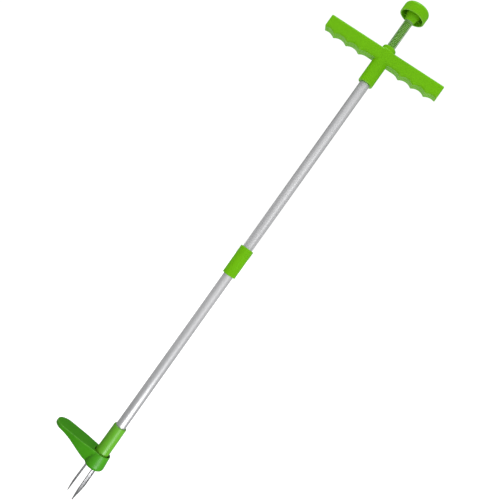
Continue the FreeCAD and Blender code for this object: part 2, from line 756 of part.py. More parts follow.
def step_outer():
    underside = Part.BSplineCurve()
    underside.interpolate([Vector(-distance, 0, HUB_TOP - depth) for distance, depth in PEDAL_UNDERSIDE])
    return pedal_plan(0.0).common(pedal_flanks(0.0)).common(pedal_side(0.0, underside.toShape()))


def step_hollow():
    """The space below the step's plate, between its walls and ribs."""
    floor = line(Vector(-PEDAL_REACH, 0, HEAD_BOTTOM), Vector(0, 0, HEAD_BOTTOM))
    hollow = pedal_plan(PEDAL_WALL).common(pedal_flanks(PEDAL_WALL)).common(pedal_side(PEDAL_PLATE, floor))
    ribs = [box(-PEDAL_REACH, 0, -PEDAL_RIB / 2, PEDAL_RIB / 2, 0, TOTAL_HEIGHT)]
    for x in PEDAL_CROSS_RIBS:
        ribs.append(box(x - PEDAL_RIB / 2, x + PEDAL_RIB / 2, -REACH, REACH, 0, TOTAL_HEIGHT))
    return hollow.cut(ribs)


def hub_outer():
    """Hub that flares slightly downward and has a round lower edge."""
    hub_edge = Vector(HUB_LOW_RADIUS - HUB_EDGE, 0, HEAD_BOTTOM)
    round_centre = Vector(HUB_LOW_RADIUS - HUB_EDGE, 0, HEAD_BOTTOM + HUB_EDGE)
    round_middle = round_centre + Vector(1, 0, -1).normalize() * HUB_EDGE
    edges = [
        line(Vector(0, 0, HEAD_BOTTOM), hub_edge),
        arc(hub_edge, round_middle, Vector(HUB_LOW_RADIUS, 0, HEAD_BOTTOM + HUB_EDGE)),
        line(Vector(HUB_LOW_RADIUS, 0, HEAD_BOTTOM + HUB_EDGE), Vector(HUB_LOW_RADIUS, 0, HUB_LOW_Z)),
        line(Vector(HUB_LOW_RADIUS, 0, HUB_LOW_Z), Vector(HUB_TOP_RADIUS, 0, HUB_TOP)),
        line(Vector(HUB_TOP_RADIUS, 0, HUB_TOP), Vector(0, 0, HUB_TOP)),
        line(Vector(0, 0, HUB_TOP), Vector(0, 0, HEAD_BOTTOM)),
    ]
    return Part.Face(Part.Wire(edges)).revolve(Vector(0, 0, 0), Vector(0, 0, 1), 360)


def foot_pedal():
    """One moulding: the hub ring with its cup, and the ribbed step that is open below."""
    body = hub_outer().fuse(step_outer().cut(step_hollow())).removeSplitter()
    cuts = [
        cylinder(CLAW_SOCKET_RADIUS + HUB_SLIP, 0, TOTAL_HEIGHT),
        cylinder(CUP_RADIUS, HUB_TOP - CUP_DEPTH, HUB_TOP + 1),
        pedal_screw_hole(),
    ]
    return body.cut(cuts)


# ---------------------------------------------------------------- export
def build_parts():
    parts = {
        "handle_front_shell": handle_shell(-1),
        "handle_back_shell": handle_shell(+1),
        "handle_screws": handle_screws(),
        "top_guide_bush": top_guide_bush(),
        "spring_seat_washer": spring_seat_washer(),
        "spring_top_washer": spring_top_washer(),
        "return_spring": return_spring(),
        "plunger_stem": plunger_stem(),
        "rod_stop_collar": rod_stop_collar(),
        "collar_pin": collar_pin(),
        "knob_cap": knob_cap(),
        "knob_nut": knob_nut(),
        "upper_push_rod": upper_push_rod(),
        "rod_coupler": rod_coupler(),
        "coupler_set_screws": coupler_set_screws(),
        "lower_push_rod": lower_push_rod(),
        "ejector_plunger": ejector_plunger(),
        "ejector_screw": ejector_screw(),
        "upper_tube": upper_tube(),
        "upper_tube_screw": upper_tube_screw(),
        "joiner_sleeve": joiner_sleeve(),
        "joiner_screws": joiner_screws(),
        "lower_tube": lower_tube(),
        "lower_tube_screw": lower_tube_screw(),
        "claw_socket": claw_socket(),
        "lower_guide_bush": lower_guide_bush(),
        "foot_pedal": foot_pedal(),
        "pedal_screw": pedal_screw(),
    }
    for name, (angle, rise) in CLAWS.items():
        parts[name] = claw(angle, rise)
    return parts


def main():
    os.makedirs("parts", exist_ok=True)
    for name, shape in build_parts().items():
        bounds = shape.BoundBox
        print(
            f"{name:20s} solids {len(shape.Solids)} valid {shape.isValid()} volume {shape.Volume:10.1f}"
            f"  x {bounds.XMin:7.2f} {bounds.XMax:7.2f}  y {bounds.YMin:7.2f} {bounds.YMax:7.2f}"
            f"  z {bounds.ZMin:7.2f} {bounds.ZMax:7.2f}"
        )
        shape.exportStep(f"parts/{name}.step")


main()
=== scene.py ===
import math

import bmesh
import bpy
import numpy as np
from mathutils import Matrix, Vector

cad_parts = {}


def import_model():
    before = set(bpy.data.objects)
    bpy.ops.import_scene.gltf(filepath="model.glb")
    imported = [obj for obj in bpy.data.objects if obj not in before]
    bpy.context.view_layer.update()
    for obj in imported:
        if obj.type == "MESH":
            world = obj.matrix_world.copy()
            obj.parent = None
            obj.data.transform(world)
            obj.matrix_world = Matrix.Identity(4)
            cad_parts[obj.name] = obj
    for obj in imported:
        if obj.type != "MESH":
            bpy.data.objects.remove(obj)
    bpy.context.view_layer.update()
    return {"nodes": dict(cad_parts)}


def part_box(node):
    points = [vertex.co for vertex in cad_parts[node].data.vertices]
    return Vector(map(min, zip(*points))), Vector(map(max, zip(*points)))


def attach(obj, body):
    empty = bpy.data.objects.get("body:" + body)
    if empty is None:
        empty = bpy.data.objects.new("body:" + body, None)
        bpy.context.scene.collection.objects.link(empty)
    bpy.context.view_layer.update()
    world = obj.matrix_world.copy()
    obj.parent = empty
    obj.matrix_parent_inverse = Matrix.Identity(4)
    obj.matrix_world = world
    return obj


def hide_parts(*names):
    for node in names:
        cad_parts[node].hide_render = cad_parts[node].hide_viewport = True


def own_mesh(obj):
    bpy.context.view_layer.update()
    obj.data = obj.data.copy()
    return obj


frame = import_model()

# Stand up weeder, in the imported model's frame: +Z up along the tube, T-handle along X, pedal toward -X.
# Shapes are written in millimetres; MM turns them into Blender's metres.
MM = 0.001


def box_mm(node):
    """Lowest and highest corner of a CAD node, in millimetres."""
    low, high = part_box(node)
    return np.array(low) / MM, np.array(high) / MM


# ---------------------------------------------------------------- places read from the frame
KNOB_LOW, KNOB_HIGH = box_mm("knob_cap")
HANDLE_LOW, HANDLE_HIGH = box_mm("handle_front_shell")
STEM_LOW, STEM_HIGH = box_mm("plunger_stem")
SPRING_LOW, SPRING_HIGH = box_mm("return_spring")
SEAT_LOW, SEAT_HIGH = box_mm("spring_seat_washer")
TOP_WASHER_LOW, TOP_WASHER_HIGH = box_mm("spring_top_washer")
UPPER_TUBE_LOW, UPPER_TUBE_HIGH = box_mm("upper_tube")
LOWER_TUBE_LOW, LOWER_TUBE_HIGH = box_mm("lower_tube")
JOINER_LOW, JOINER_HIGH = box_mm("joiner_sleeve")
SOCKET_LOW, SOCKET_HIGH = box_mm("claw_socket")
PEDAL_LOW, PEDAL_HIGH = box_mm("foot_pedal")
EJECTOR_LOW, EJECTOR_HIGH = box_mm("ejector_plunger")
ROD_LOW, ROD_HIGH = box_mm("lower_push_rod")
BUSH_LOW, _ = box_mm("top_guide_bush")

TUBE_RADIUS = UPPER_TUBE_HIGH[0]
TUBE_WALL = 1.2
TUBE_BORE = TUBE_RADIUS - TUBE_WALL
BORE_SLIP = 0.05
# how far a cutting shape runs on past the face it opens
OPEN_RUN = 20
CUT_OVERRUN = 8
ROD_RADIUS = ROD_HIGH[0]
# a lathe's outline stops just short of the axis
ROD_CORE_RADIUS = 0.01
STEM_RADIUS = STEM_HIGH[0]

# grid spacing of the meshes made from distance fields
FINE_STEP = 0.6
PEDAL_STEP = 0.65
HANDLE_STEP = 0.8
SCREW_STEP = 0.26

# T-handle
NECK_RISE = 8.0
ARM_TOP = HANDLE_HIGH[2] - NECK_RISE
ARM_SPAN = HANDLE_HIGH[0]
ARM_DEPTH = 12.5
ARM_EDGE = 3.4
ARM_TOP_EDGE = 1.0
ARM_END_EDGE = 2.0
CUSP_BLEND = 1.6
SCALLOP_DEPTH = 6.0
HANDLE_POST_RADIUS = 3.8
NECK_EDGE = 2.6
BORE_EDGE = 0.7
MOULD_GAP = 0.10
SHELL_WALL = 2.5
COLUMN_RADIUS = 13.4
NECK_RADIUS = 12.2
SPRING_SEAT_RADIUS = 8.1
SCALLOP_RADIUS = 20.0
SCALLOP_PITCH = 25.5
SCALLOP_FIRST = 27.25
SCALLOP_DROP = 21.7
SCALLOP_TOP = ARM_TOP - SCALLOP_DROP
SCALLOP_COUNT = 4
HANDLE_SCREW_XS = (-91.0, -40.0, 40.0, 91.0)
HANDLE_SCREW_Z = 898.0

# screws
SCREW_HEAD_RADIUS = 3.2
SCREW_HEAD = 2.0
SCREW_DOME = 5.2
THREAD_RADIUS = 1.7
THREAD_DEPTH = 0.22
THREAD_PITCH = 1.3
CROSS_HALF_WIDTH = 0.42
CROSS_TAPER = 0.1
CROSS_REACH = 1.7
CROSS_DEPTH = 1.3
SEAT_SLIP = 0.15

# return spring
SPRING_WIRE_RADIUS = 0.6
SPRING_TURNS = 23.0
SPRING_CLOSED_TURNS = 1.0

# push knob
KNOB_RADIUS = KNOB_HIGH[1]
KNOB_EDGE = 6.0
KNOB_SKIN = 3.8
KNOB_CAVITY_EDGE = 3.6
KNOB_RIB_HALF = 0.8
KNOB_RIB_REACH = 1.5
KNOB_BOSS_DROP = 8.5
KNOB_BOSS_TIP = 7.9
KNOB_BOSS_ROOT = 12.0
KNOB_CROWN_RADIUS = 240.0
KNOB_WALL = 2.6
KNOB_RIB_RECESS = 5.0

# joiner sleeve
JOINER_EDGE = 1.3
JOINER_RIB = 1.5
JOINER_SEAT_DEPTH = 1.2

# head
HUB_EDGE = 5.5
HUB_TOP_RADIUS = 16.0
HUB_LOW_RADIUS = 17.8
HUB_FLARE_Z = 68.0
CUP_RADIUS = 14.2
CUP_DEPTH = 8.0
SOCKET_RADIUS = 12.2
SOCKET_TOP_RADIUS = 11.7
PEDAL_RISE = 2.4
HUB_TOP = PEDAL_HIGH[2] - PEDAL_RISE
PEDAL_HALF_WIDTH = 19.0
PEDAL_WALL = 2.4
PEDAL_PLATE = 3.0
PEDAL_RIB = 2.0
PEDAL_CROSS_RIBS = (-34.0, -50.0, -66.0)
# distance from the axis, and what the step measures there
PEDAL_TOP_HALVES = ((0, 15.8), (20, 17.4), (40, 19.0), (60, 19.0), (94, 19.0))
PEDAL_LOW_HALVES = ((0, 5.0), (20, 9.2), (40, 13.5), (60, 14.9), (94, 17.3))
PEDAL_UNDERSIDE = (
    (0, 27.6),
    (20, 24.2),
    (33, 18.6),
    (44, 13.9),
    (58, 9.0),
    (72, 5.9),
    (83, 4.6),
    (94, 3.8),
)
CLAW_NODES = {"claw_front": -60.0, "claw_back": 60.0, "claw_left": 180.0}
CLAW_INNER_RADIUS = 8.9
CLAW_WIDTH = 4.5
CLAW_THICKNESS = 3.2
CLAW_HEAD_WIDTH = 9.5
CLAW_HEAD = 4.0
CLAW_SPLAY = 1.4
CLAW_POINT_LENGTH = 20.0
CLAW_TIP_HALF_WIDTH = 0.6
CLAW_TIP_THICKNESS = 1.1
CLAW_POINT_CURVE = 1.25
CLAW_CORNER = 0.45
CLAW_HEAD_CORNER = 0.3
CLAW_TOP = 80.0
CLAW_SLIP = 0.1

# rod guide and ejector
GUIDE_BORE_RADIUS = 6.05
EJECTOR_SLIP = 0.3
EJECTOR_BEVEL = 1.5
EJECTOR_FLOOR = 3.5
EJECTOR_SCREW_HOLE = 2.0


# ---------------------------------------------------------------- distance fields, in millimetres
def cylinder(x, y, z, radius, low, high, edge=0.0):
    """Upright cylinder with rounded rims: negative inside."""
    side = np.hypot(x, y) - radius
    ends = np.abs(z - (low + high) / 2) - (high - low) / 2
    return meet(side, ends, edge)


def meet(a, b, edge=0.0):
    """What is inside both a and b, with a round edge where they cross."""
    if edge <= 0:
        return np.maximum(a, b)
    corner = np.hypot(np.maximum(a + edge, 0), np.maximum(b + edge, 0))
    return np.minimum(np.maximum(a, b) + edge, 0) + corner - edge


def join(a, b, blend=0.0):
    """What is inside a or b, with a hollow fillet where they cross."""
    if blend <= 0:
        return np.minimum(a, b)
    overlap = np.maximum(blend - np.abs(a - b), 0) / blend
    return np.minimum(a, b) - overlap**2 * blend / 4


def take(a, b, edge=0.0):
    """What is inside a and outside b, with a round edge."""
    return meet(a, -b, edge)


def mesh_from_field(field, low, high, step):
    """Vertices and quads of the field's zero surface, each vertex settled onto the surface."""
    low = np.array(low, float) - 2 * step
    high = np.array(high, float) + 2 * step
    axes = [np.arange(low[i], high[i] + step, step) for i in range(3)]
    grid = np.stack(np.meshgrid(*axes, indexing="ij"), axis=-1)
    value = field(grid[..., 0], grid[..., 1], grid[..., 2])
    cells = tuple(n - 1 for n in value.shape)
    total = np.zeros(cells + (3,))
    count = np.zeros(cells)
    crossings = []
    for axis in range(3):
        first = [slice(None)] * 3
        second = [slice(None)] * 3
        first[axis] = slice(None, -1)
        second[axis] = slice(1, None)
        a, b = value[tuple(first)], value[tuple(second)]
        crosses = (a < 0) != (b < 0)
        share = np.where(crosses, a / np.where(crosses, a - b, 1), 0)
        point = grid[tuple(first)].copy()
        point[..., axis] += share * step
        point *= crosses[..., None]
        others = [i for i in range(3) if i != axis]
        for shift_u in (0, 1):
            for shift_v in (0, 1):
                window = [slice(None)] * 3
                window[others[0]] = slice(shift_u, cells[others[0]] + shift_u)
                window[others[1]] = slice(shift_v, cells[others[1]] + shift_v)
                total += point[tuple(window)]
                count += crosses[tuple(window)]
        crossings.append((axis, others, crosses, a < 0))
    used = count > 0
    index = np.full(cells, -1)
    index[used] = np.arange(used.sum())
    vertices = total[used] / count[used][:, None]
    quads = []
    for axis, others, crosses, inside in crossings:
        at = np.argwhere(crosses)
        beside = at[:, others]
        keep = np.all(beside > 0, axis=1) & np.all(beside < np.array(cells)[others], axis=1)
        at = at[keep]
        ring = []
        for shift_u, shift_v in ((1, 1), (0, 1), (0, 0), (1, 0)):
            cell = at.copy()
            cell[:, others[0]] -= shift_u
            cell[:, others[1]] -= shift_v
            ring.append(index[tuple(cell.T)])
        ring = np.stack(ring, axis=1)
        outward = inside[tuple(at.T)]
        if axis == 1:
            outward = ~outward
        ring[~outward] = ring[~outward][:, ::-1]
        quads.append(ring)
    return settle(field, vertices, step), np.concatenate(quads)


def settle(field, vertices, step, rounds=4):
    """Move each vertex along the field's slope onto its zero surface."""
    probe = step * 0.05
    limit = step * 0.5
    for _ in range(rounds):
        value = field(*vertices.T)
        slope = np.stack(
            [
                (field(*(vertices + shift).T) - field(*(vertices - shift).T)) / (2 * probe)
                for shift in np.eye(3) * probe
            ],
            axis=1,
        )
        size = np.maximum((slope**2).sum(axis=1), 0.05)
        move = np.clip(value / size, -limit, limit)[:, None] * slope
        vertices = vertices - move
    return vertices


# ---------------------------------------------------------------- meshes
def new_piece(name, vertices, faces, smooth=True):
    """Object from millimetre vertices, its normals pointing out."""
    mesh = bpy.data.meshes.new(name)
    points = [tuple(vertex) for vertex in np.asarray(vertices, float) * MM]
    mesh.from_pydata(points, [], [list(map(int, face)) for face in faces])
    mesh.validate()
    work = bmesh.new()
    work.from_mesh(mesh)
    bmesh.ops.recalc_face_normals(work, faces=work.faces)
    work.to_mesh(mesh)
    work.free()
    if smooth:
        mesh.shade_smooth()
    piece = bpy.data.objects.new(name, mesh)
    bpy.context.scene.collection.objects.link(piece)
    return piece


def field_piece(name, field, low, high, step):
    vertices, quads = mesh_from_field(field, low, high, step)
    return new_piece(name, vertices, quads)


def rounded(points, radius, steps=6):
    """Closed outline with every corner turned into an arc of the radius, or less where a side is short."""
    points = [np.array(p, float) for p in points]
    smooth = []
    for before, corner, after in zip(points[-1:] + points[:-1], points, points[1:] + points[:1]):
        to_before, to_after = before - corner, after - corner
        length_before, length_after = np.linalg.norm(to_before), np.linalg.norm(to_after)
        to_before, to_after = to_before / length_before, to_after / length_after
        half_turn = math.acos(np.clip(to_before @ to_after, -1, 1)) / 2
        if math.pi / 2 - half_turn < math.radians(4):
            smooth.append(corner)
            continue
        reach = min(radius / math.tan(half_turn), length_before * 0.45, length_after * 0.45)
        real_radius = reach * math.tan(half_turn)
        bisector = (to_before + to_after) / np.linalg.norm(to_before + to_after)
        centre = corner + bisector * real_radius / math.sin(half_turn)
        start, end = corner + to_before * reach - centre, corner + to_after * reach - centre
        turn = math.acos(np.clip(start @ end / real_radius**2, -1, 1))
        for i in range(steps + 1):
            t = i / steps
            spoke = (math.sin((1 - t) * turn) * start + math.sin(t * turn) * end) / math.sin(turn)
            smooth.append(centre + spoke)
    return smooth


def ring_faces(rings, around, closed=False):
    """Quads from each ring of points to the next, and from the last back to the first if closed."""
    faces = []
    for i in range(rings if closed else rings - 1):
        here = i * around
        following = (i + 1) % rings * around
        for j in range(around):
            beside = (j + 1) % around
            faces.append((here + j, here + beside, following + beside, following + j))
    return faces


def end_faces(rings, around):
    """The two faces that close a stack of rings."""
    last = (rings - 1) * around
    return [tuple(range(around)), tuple(last + j for j in reversed(range(around)))]


def lathe(name, outline, segments=96):
    """Closed (radius, height) outline turned about Z."""
    angles = [2 * math.pi * i / segments for i in range(segments)]
    vertices = [(r * math.cos(a), r * math.sin(a), z) for r, z in outline for a in angles]
    piece = new_piece(name, vertices, ring_faces(len(outline), segments, closed=True))
    sharpen(piece)
    return piece


def sharpen(piece, degrees=40.0):
    """Keep smooth shading across gentle turns only."""
    mesh = piece.data
    mesh.set_sharp_from_angle(angle=math.radians(degrees))


def tube_outline(outer, inner, low, high, edge=0.3):
    return rounded([(outer, low), (outer, high), (inner, high), (inner, low)], edge, 4)


def loft(name, sections):
    """Closed skin over a stack of sections that have equal point counts."""
    rings, around = len(sections), len(sections[0])
    vertices = [point for section in sections for point in section]
    piece = new_piece(name, vertices, ring_faces(rings, around) + end_faces(rings, around))
    sharpen(piece)
    return piece


def place(piece, body, material, slot_name, *nodes):
    """Give a finished piece its material and its body, and hide the CAD nodes it stands for. slot_name is
    not used.
    """
    piece.data.materials.append(material)
    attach(piece, body)
    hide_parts(*nodes)
    return piece


# ---------------------------------------------------------------- materials
class Nodes:
    """Small helper that builds one node material."""

    def __init__(self, name):
        self.material = bpy.data.materials.new(name)
        self.material.use_nodes = True
        self.tree = self.material.node_tree
        self.shader = self.tree.nodes["Principled BSDF"]
        self.place = self.tree.nodes.new("ShaderNodeTexCoord").outputs["Object"]

    def node(self, kind, **settings):
        made = self.tree.nodes.new(kind)
        for key, value in settings.items():
            setattr(made, key, value)
        return made

    def link(self, source, target):
        self.tree.links.new(source, target)

    def stretched(self, scale):
        mapping = self.node("ShaderNodeMapping")
        mapping.inputs["Scale"].default_value = scale
        self.link(self.place, mapping.inputs["Vector"])
        return mapping.outputs["Vector"]

    def noise(self, scale, detail=4.0, rough=0.55, stretch=None):
        made = self.node("ShaderNodeTexNoise")
        made.inputs["Scale"].default_value = scale
        made.inputs["Detail"].default_value = detail
        made.inputs["Roughness"].default_value = rough
        self.link(self.stretched(stretch) if stretch else self.place, made.inputs["Vector"])
        return made.outputs["Fac"]

    def ramp(self, factor, low, high, low_value=0.0, high_value=1.0):
        """Map a factor's range onto a range of values, clamped."""
        made = self.node("ShaderNodeMapRange")
        made.inputs["From Min"].default_value = low
        made.inputs["From Max"].default_value = high
        made.inputs["To Min"].default_value = low_value
        made.inputs["To Max"].default_value = high_value
        self.link(factor, made.inputs["Value"])
        return made.outputs["Result"]

    def math(self, operation, a, b):
        made = self.node("ShaderNodeMath", operation=operation)
        for socket, value in zip(made.inputs, (a, b)):
            if isinstance(value, (int, float)):
                socket.default_value = value
            else:
                self.link(value, socket)
        return made.outputs["Value"]

    def mix(self, factor, a, b):
        """Mix two colours, each an output or a colour."""
        made = self.node("ShaderNodeMix", data_type="RGBA")
        self.link(factor, made.inputs["Factor"])
        for name, value in (("A", a), ("B", b)):
            socket = [s for s in made.inputs if s.name == name and s.type == "RGBA"][0]
            if isinstance(value, tuple):
                socket.default_value = value + (1.0,)
            else:
                self.link(value, socket)
        return [s for s in made.outputs if s.type == "RGBA"][0]

    def bump(self, height, strength, distance, previous=None):
        made = self.node("ShaderNodeBump")
        made.inputs["Strength"].default_value = strength
        made.inputs["Distance"].default_value = distance
        self.link(height, made.inputs["Height"])
        if previous is not None:
            self.link(previous, made.inputs["Normal"])
        return made.outputs["Normal"]

    def set(self, **values):
        """Link outputs to the shader's sockets, or set constants on them."""
        for name, value in values.items():
            socket = self.shader.inputs[name.replace("_", " ")]
            if isinstance(value, (int, float, tuple)):
                socket.default_value = value
            else:
                self.link(value, socket)
        return self.material


def moulded_plastic(name, colour, deep, worn_and_glint_colour, roughness, shine):
    """Injection-moulded plastic: faint flow marks, fine spark-eroded grain, and sharp edges paler, partly
    from rubbing wear and partly as a painted glint.
    """
    n = Nodes(name)
    flow = n.noise(14.0, 5.0, 0.6, (1.0, 1.0, 0.45))
    speckle = n.noise(900.0, 3.0, 0.6)
    base = n.mix(n.ramp(flow, 0.3, 0.7), deep, colour)
    edge = n.node("ShaderNodeNewGeometry").outputs["Pointiness"]
    scuff_and_glint_noise = n.noise(120.0, 6.0, 0.7)
    # paler sharp edges: real rubbing wear, and also a painted glint standing in for light caught on the
    # edges
    rubbed_and_glint = n.math("MULTIPLY", n.ramp(edge, 0.51, 0.55), n.ramp(scuff_and_glint_noise, 0.35, 0.65))
    base = n.mix(n.math("MULTIPLY", rubbed_and_glint, 0.5), base, worn_and_glint_colour)
    gloss = n.ramp(n.noise(45.0, 6.0, 0.65), 0.3, 0.7, roughness - 0.05, roughness + 0.07)
    gloss = n.math("ADD", gloss, n.math("MULTIPLY", rubbed_and_glint, 0.12))
    grain = n.bump(speckle, 0.16, 0.0004)
    waves = n.bump(n.noise(60.0, 2.0, 0.5), 0.05, 0.001, grain)
    return n.set(Base_Color=base, Roughness=gloss, Normal=waves, IOR=1.49, Specular_IOR_Level=shine)


def drawn_aluminium():
    """Bare drawn tube: long die lines along Z, cloudy oxide and a few handling marks."""
    n = Nodes("drawn_aluminium")
    lines = n.noise(1.0, 6.0, 0.7, (900.0, 900.0, 5.0))
    cloud = n.noise(16.0, 5.0, 0.6, (1.0, 1.0, 0.35))
    base = n.mix(n.ramp(cloud, 0.3, 0.7), (0.53, 0.535, 0.545), (0.62, 0.62, 0.63))
    base = n.mix(n.ramp(lines, 0.35, 0.7, 0.0, 0.35), base, (0.48, 0.485, 0.49))
    marks = n.noise(70.0, 8.0, 0.75, (1.0, 1.0, 0.2))
    gloss = n.ramp(marks, 0.35, 0.75, 0.46, 0.58)
    scored = n.bump(lines, 0.10, 0.0002)
    dents = n.bump(n.noise(30.0, 3.0, 0.5, (1.0, 1.0, 0.3)), 0.05, 0.0015, scored)
    return n.set(Base_Color=base, Metallic=1.0, Roughness=gloss, Normal=dents)


def steel(name, bright, dark, roughness, stretch, spots):
    """Metal with directional grinding or drawing marks and dull spots."""
    n = Nodes(name)
    lines = n.noise(1.0, 5.0, 0.65, stretch)
    cloud = n.noise(60.0, 6.0, 0.65)
    base = n.mix(n.ramp(lines, 0.3, 0.7), dark, bright)
    base = n.mix(n.ramp(cloud, 0.55, 0.75, 0.0, spots), base, tuple(0.5 * c for c in dark))
    gloss = n.ramp(cloud, 0.3, 0.7, roughness - 0.06, roughness + 0.10)
    scored = n.bump(lines, 0.12, 0.0002)
    return n.set(Base_Color=base, Metallic=1.0, Roughness=gloss, Normal=scored)


def coated_spring():
    """Spring wire under a thin green coat that has rubbed through where the turns touch."""
    n = Nodes("coated_spring_wire")
    cloud = n.noise(150.0, 6.0, 0.65)
    base = n.mix(n.ramp(cloud, 0.35, 0.65), (0.15, 0.35, 0.08), (0.27, 0.50, 0.16))
    bare = n.ramp(n.noise(400.0, 5.0, 0.7), 0.56, 0.68)
    base = n.mix(bare, base, (0.40, 0.44, 0.36))
    gloss = n.ramp(cloud, 0.3, 0.7, 0.28, 0.42)
    metal = n.ramp(bare, 0.0, 1.0, 0.25, 0.9)
    pitted = n.bump(cloud, 0.1, 0.0003)
    return n.set(Base_Color=base, Metallic=metal, Roughness=gloss, Normal=pitted)


def plain_plastic(name, colour, deep, roughness):
    """Unpainted technical plastic with fine mottling."""
    n = Nodes(name)
    cloud = n.noise(80.0, 6.0, 0.65)
    base = n.mix(n.ramp(cloud, 0.3, 0.7), deep, colour)
    gloss = n.ramp(cloud, 0.3, 0.7, roughness - 0.08, roughness + 0.08)
    grain = n.bump(n.noise(700.0, 3.0), 0.12, 0.0003)
    return n.set(Base_Color=base, Roughness=gloss, Normal=grain)


HANDLE_GREEN = moulded_plastic(
    "handle_green",
    colour=(0.155, 0.480, 0.002),
    deep=(0.134, 0.440, 0.001),
    worn_and_glint_colour=(0.36, 0.64, 0.10),
    roughness=0.42,
    shine=0.08,
)
# lighter, redder copy of the head green for the claw socket: painted highlight where the socket catches
# the light strip
SOCKET_GREEN_LIT_COPY = moulded_plastic(
    "head_green_lit_copy",
    colour=(0.098, 0.340, 0.008),
    deep=(0.080, 0.300, 0.006),
    worn_and_glint_colour=(0.20, 0.42, 0.06),
    roughness=0.38,
    shine=0.42,
)
HEAD_GREEN = moulded_plastic(
    "head_green",
    colour=(0.046, 0.275, 0.0005),
    deep=(0.036, 0.238, 0.0005),
    worn_and_glint_colour=(0.16, 0.40, 0.04),
    roughness=0.38,
    shine=0.30,
)
TUBE_METAL = drawn_aluminium()
CLAW_STEEL = steel(
    "ground_claw_steel",
    bright=(0.43, 0.43, 0.44),
    dark=(0.29, 0.295, 0.305),
    roughness=0.46,
    stretch=(1500.0, 1500.0, 30.0),
    spots=0.3,
)
SCREW_STEEL = steel(
    "zinc_screw_steel",
    bright=(0.66, 0.66, 0.63),
    dark=(0.50, 0.50, 0.47),
    roughness=0.32,
    stretch=(400.0, 400.0, 400.0),
    spots=0.2,
)
ROD_STEEL = steel(
    "drawn_rod_steel",
    bright=(0.55, 0.55, 0.55),
    dark=(0.40, 0.40, 0.41),
    roughness=0.28,
    stretch=(900.0, 900.0, 6.0),
    spots=0.3,
)
SPRING_WIRE = coated_spring()
BUSH_WHITE = plain_plastic("natural_acetal", (0.80, 0.79, 0.74), (0.72, 0.71, 0.66), 0.38)
EJECTOR_BLACK = plain_plastic("black_nylon", (0.030, 0.030, 0.032), (0.018, 0.018, 0.020), 0.48)


# ---------------------------------------------------------------- T-handle
def arm_field(x, y, z):
    """Both arms: straight top, square ends, finger scallops below, level from the column to the first."""
    across = np.abs(x)
    scallops = None
    for i in range(SCALLOP_COUNT):
        centre_x = SCALLOP_FIRST + i * SCALLOP_PITCH
        one = SCALLOP_RADIUS - np.hypot(across - centre_x, z - (SCALLOP_TOP - SCALLOP_RADIUS))
        if scallops is None:
            scallops = np.where(across < centre_x, SCALLOP_TOP - z, one)
        else:
            scallops = -join(-scallops, -one, CUSP_BLEND)
    outline = meet(scallops, SCALLOP_TOP - SCALLOP_DEPTH - z)
    outline = meet(outline, z - ARM_TOP, ARM_TOP_EDGE)
    outline = meet(outline, across - ARM_SPAN, ARM_END_EDGE)
    return meet(outline, np.abs(y) - ARM_DEPTH, ARM_EDGE)


def screw_seat(x, y, z, height, floor_y):
    """The space a screw's head needs: a round hole along Y, open to the back from floor_y on."""
    away = np.hypot(x, z - height)
    return meet(away - SCREW_HEAD_RADIUS - SEAT_SLIP, floor_y - y)


def handle_field(x, y, z):
    """Arms, column and neck in one blended form, with its bores, hollows and screw seats."""
    column = cylinder(x, y, z, COLUMN_RADIUS, HANDLE_LOW[2], ARM_TOP, 1.0)
    neck = cylinder(x, y, z, NECK_RADIUS, ARM_TOP - 12, HANDLE_HIGH[2], NECK_EDGE)
    arms = arm_field(x, y, z)
    body = join(join(column, arms, 1.2), neck, 2.0)
    hollow = meet(arms + SHELL_WALL, COLUMN_RADIUS + 1.0 - np.abs(x), 0.5)
    for screw_x in HANDLE_SCREW_XS:
        post = HANDLE_POST_RADIUS - np.hypot(x - screw_x, z - HANDLE_SCREW_Z)
        hollow = meet(hollow, post)
    body = take(body, hollow)
    tube_bore = cylinder(x, y, z, TUBE_RADIUS + 2 * BORE_SLIP, HANDLE_LOW[2] - OPEN_RUN, BUSH_LOW[2] + 4)
    seat_bore = cylinder(x, y, z, SPRING_SEAT_RADIUS, SEAT_LOW[2] - 6, HANDLE_HIGH[2] + OPEN_RUN)
    body = take(body, tube_bore, BORE_EDGE)
    body = take(body, seat_bore, BORE_EDGE)
    for screw_x in HANDLE_SCREW_XS:
        seat = screw_seat(x - screw_x, y, z, HANDLE_SCREW_Z, ARM_DEPTH - SHELL_WALL)
        body = take(body, seat, 0.5)
    low, _ = box_mm("upper_tube_screw")
    seat = screw_seat(x, y, z, low[2] + SCREW_HEAD_RADIUS, COLUMN_RADIUS - SCREW_HEAD)
    return take(body, seat, 0.4)


def handle_shells():
    """Mesh the handle once, then part it on the mould line into a front and a back shell."""
    high = (ARM_SPAN, COLUMN_RADIUS, HANDLE_HIGH[2])
    low = (-ARM_SPAN, -COLUMN_RADIUS, HANDLE_LOW[2])
    vertices, quads = mesh_from_field(handle_field, low, high, HANDLE_STEP)
    for side, node in ((-1, "handle_front_shell"), (1, "handle_back_shell")):
        piece = new_piece(node + "_moulding", vertices, quads)
        half(piece, side, MOULD_GAP)
        place(piece, "frame", HANDLE_GREEN, "handle_green", node)


def half(piece, side, gap):
    """Keep the part of a closed mesh on one side of the Y=0 plane, and close the cut."""
    work = bmesh.new()
    work.from_mesh(piece.data)
    everything = work.verts[:] + work.edges[:] + work.faces[:]
    cut = bmesh.ops.bisect_plane(
        work,
        geom=everything,
        dist=1e-7,
        plane_co=(0, side * gap * MM, 0),
        plane_no=(0, -side, 0),
        clear_outer=True,
    )
    edges = [item for item in cut["geom_cut"] if isinstance(item, bmesh.types.BMEdge)]
    bmesh.ops.triangle_fill(work, use_beauty=True, use_dissolve=False, edges=edges)
    bmesh.ops.recalc_face_normals(work, faces=work.faces)
    work.to_mesh(piece.data)
    work.free()
    piece.data.shade_smooth()
    sharpen(piece, 50.0)


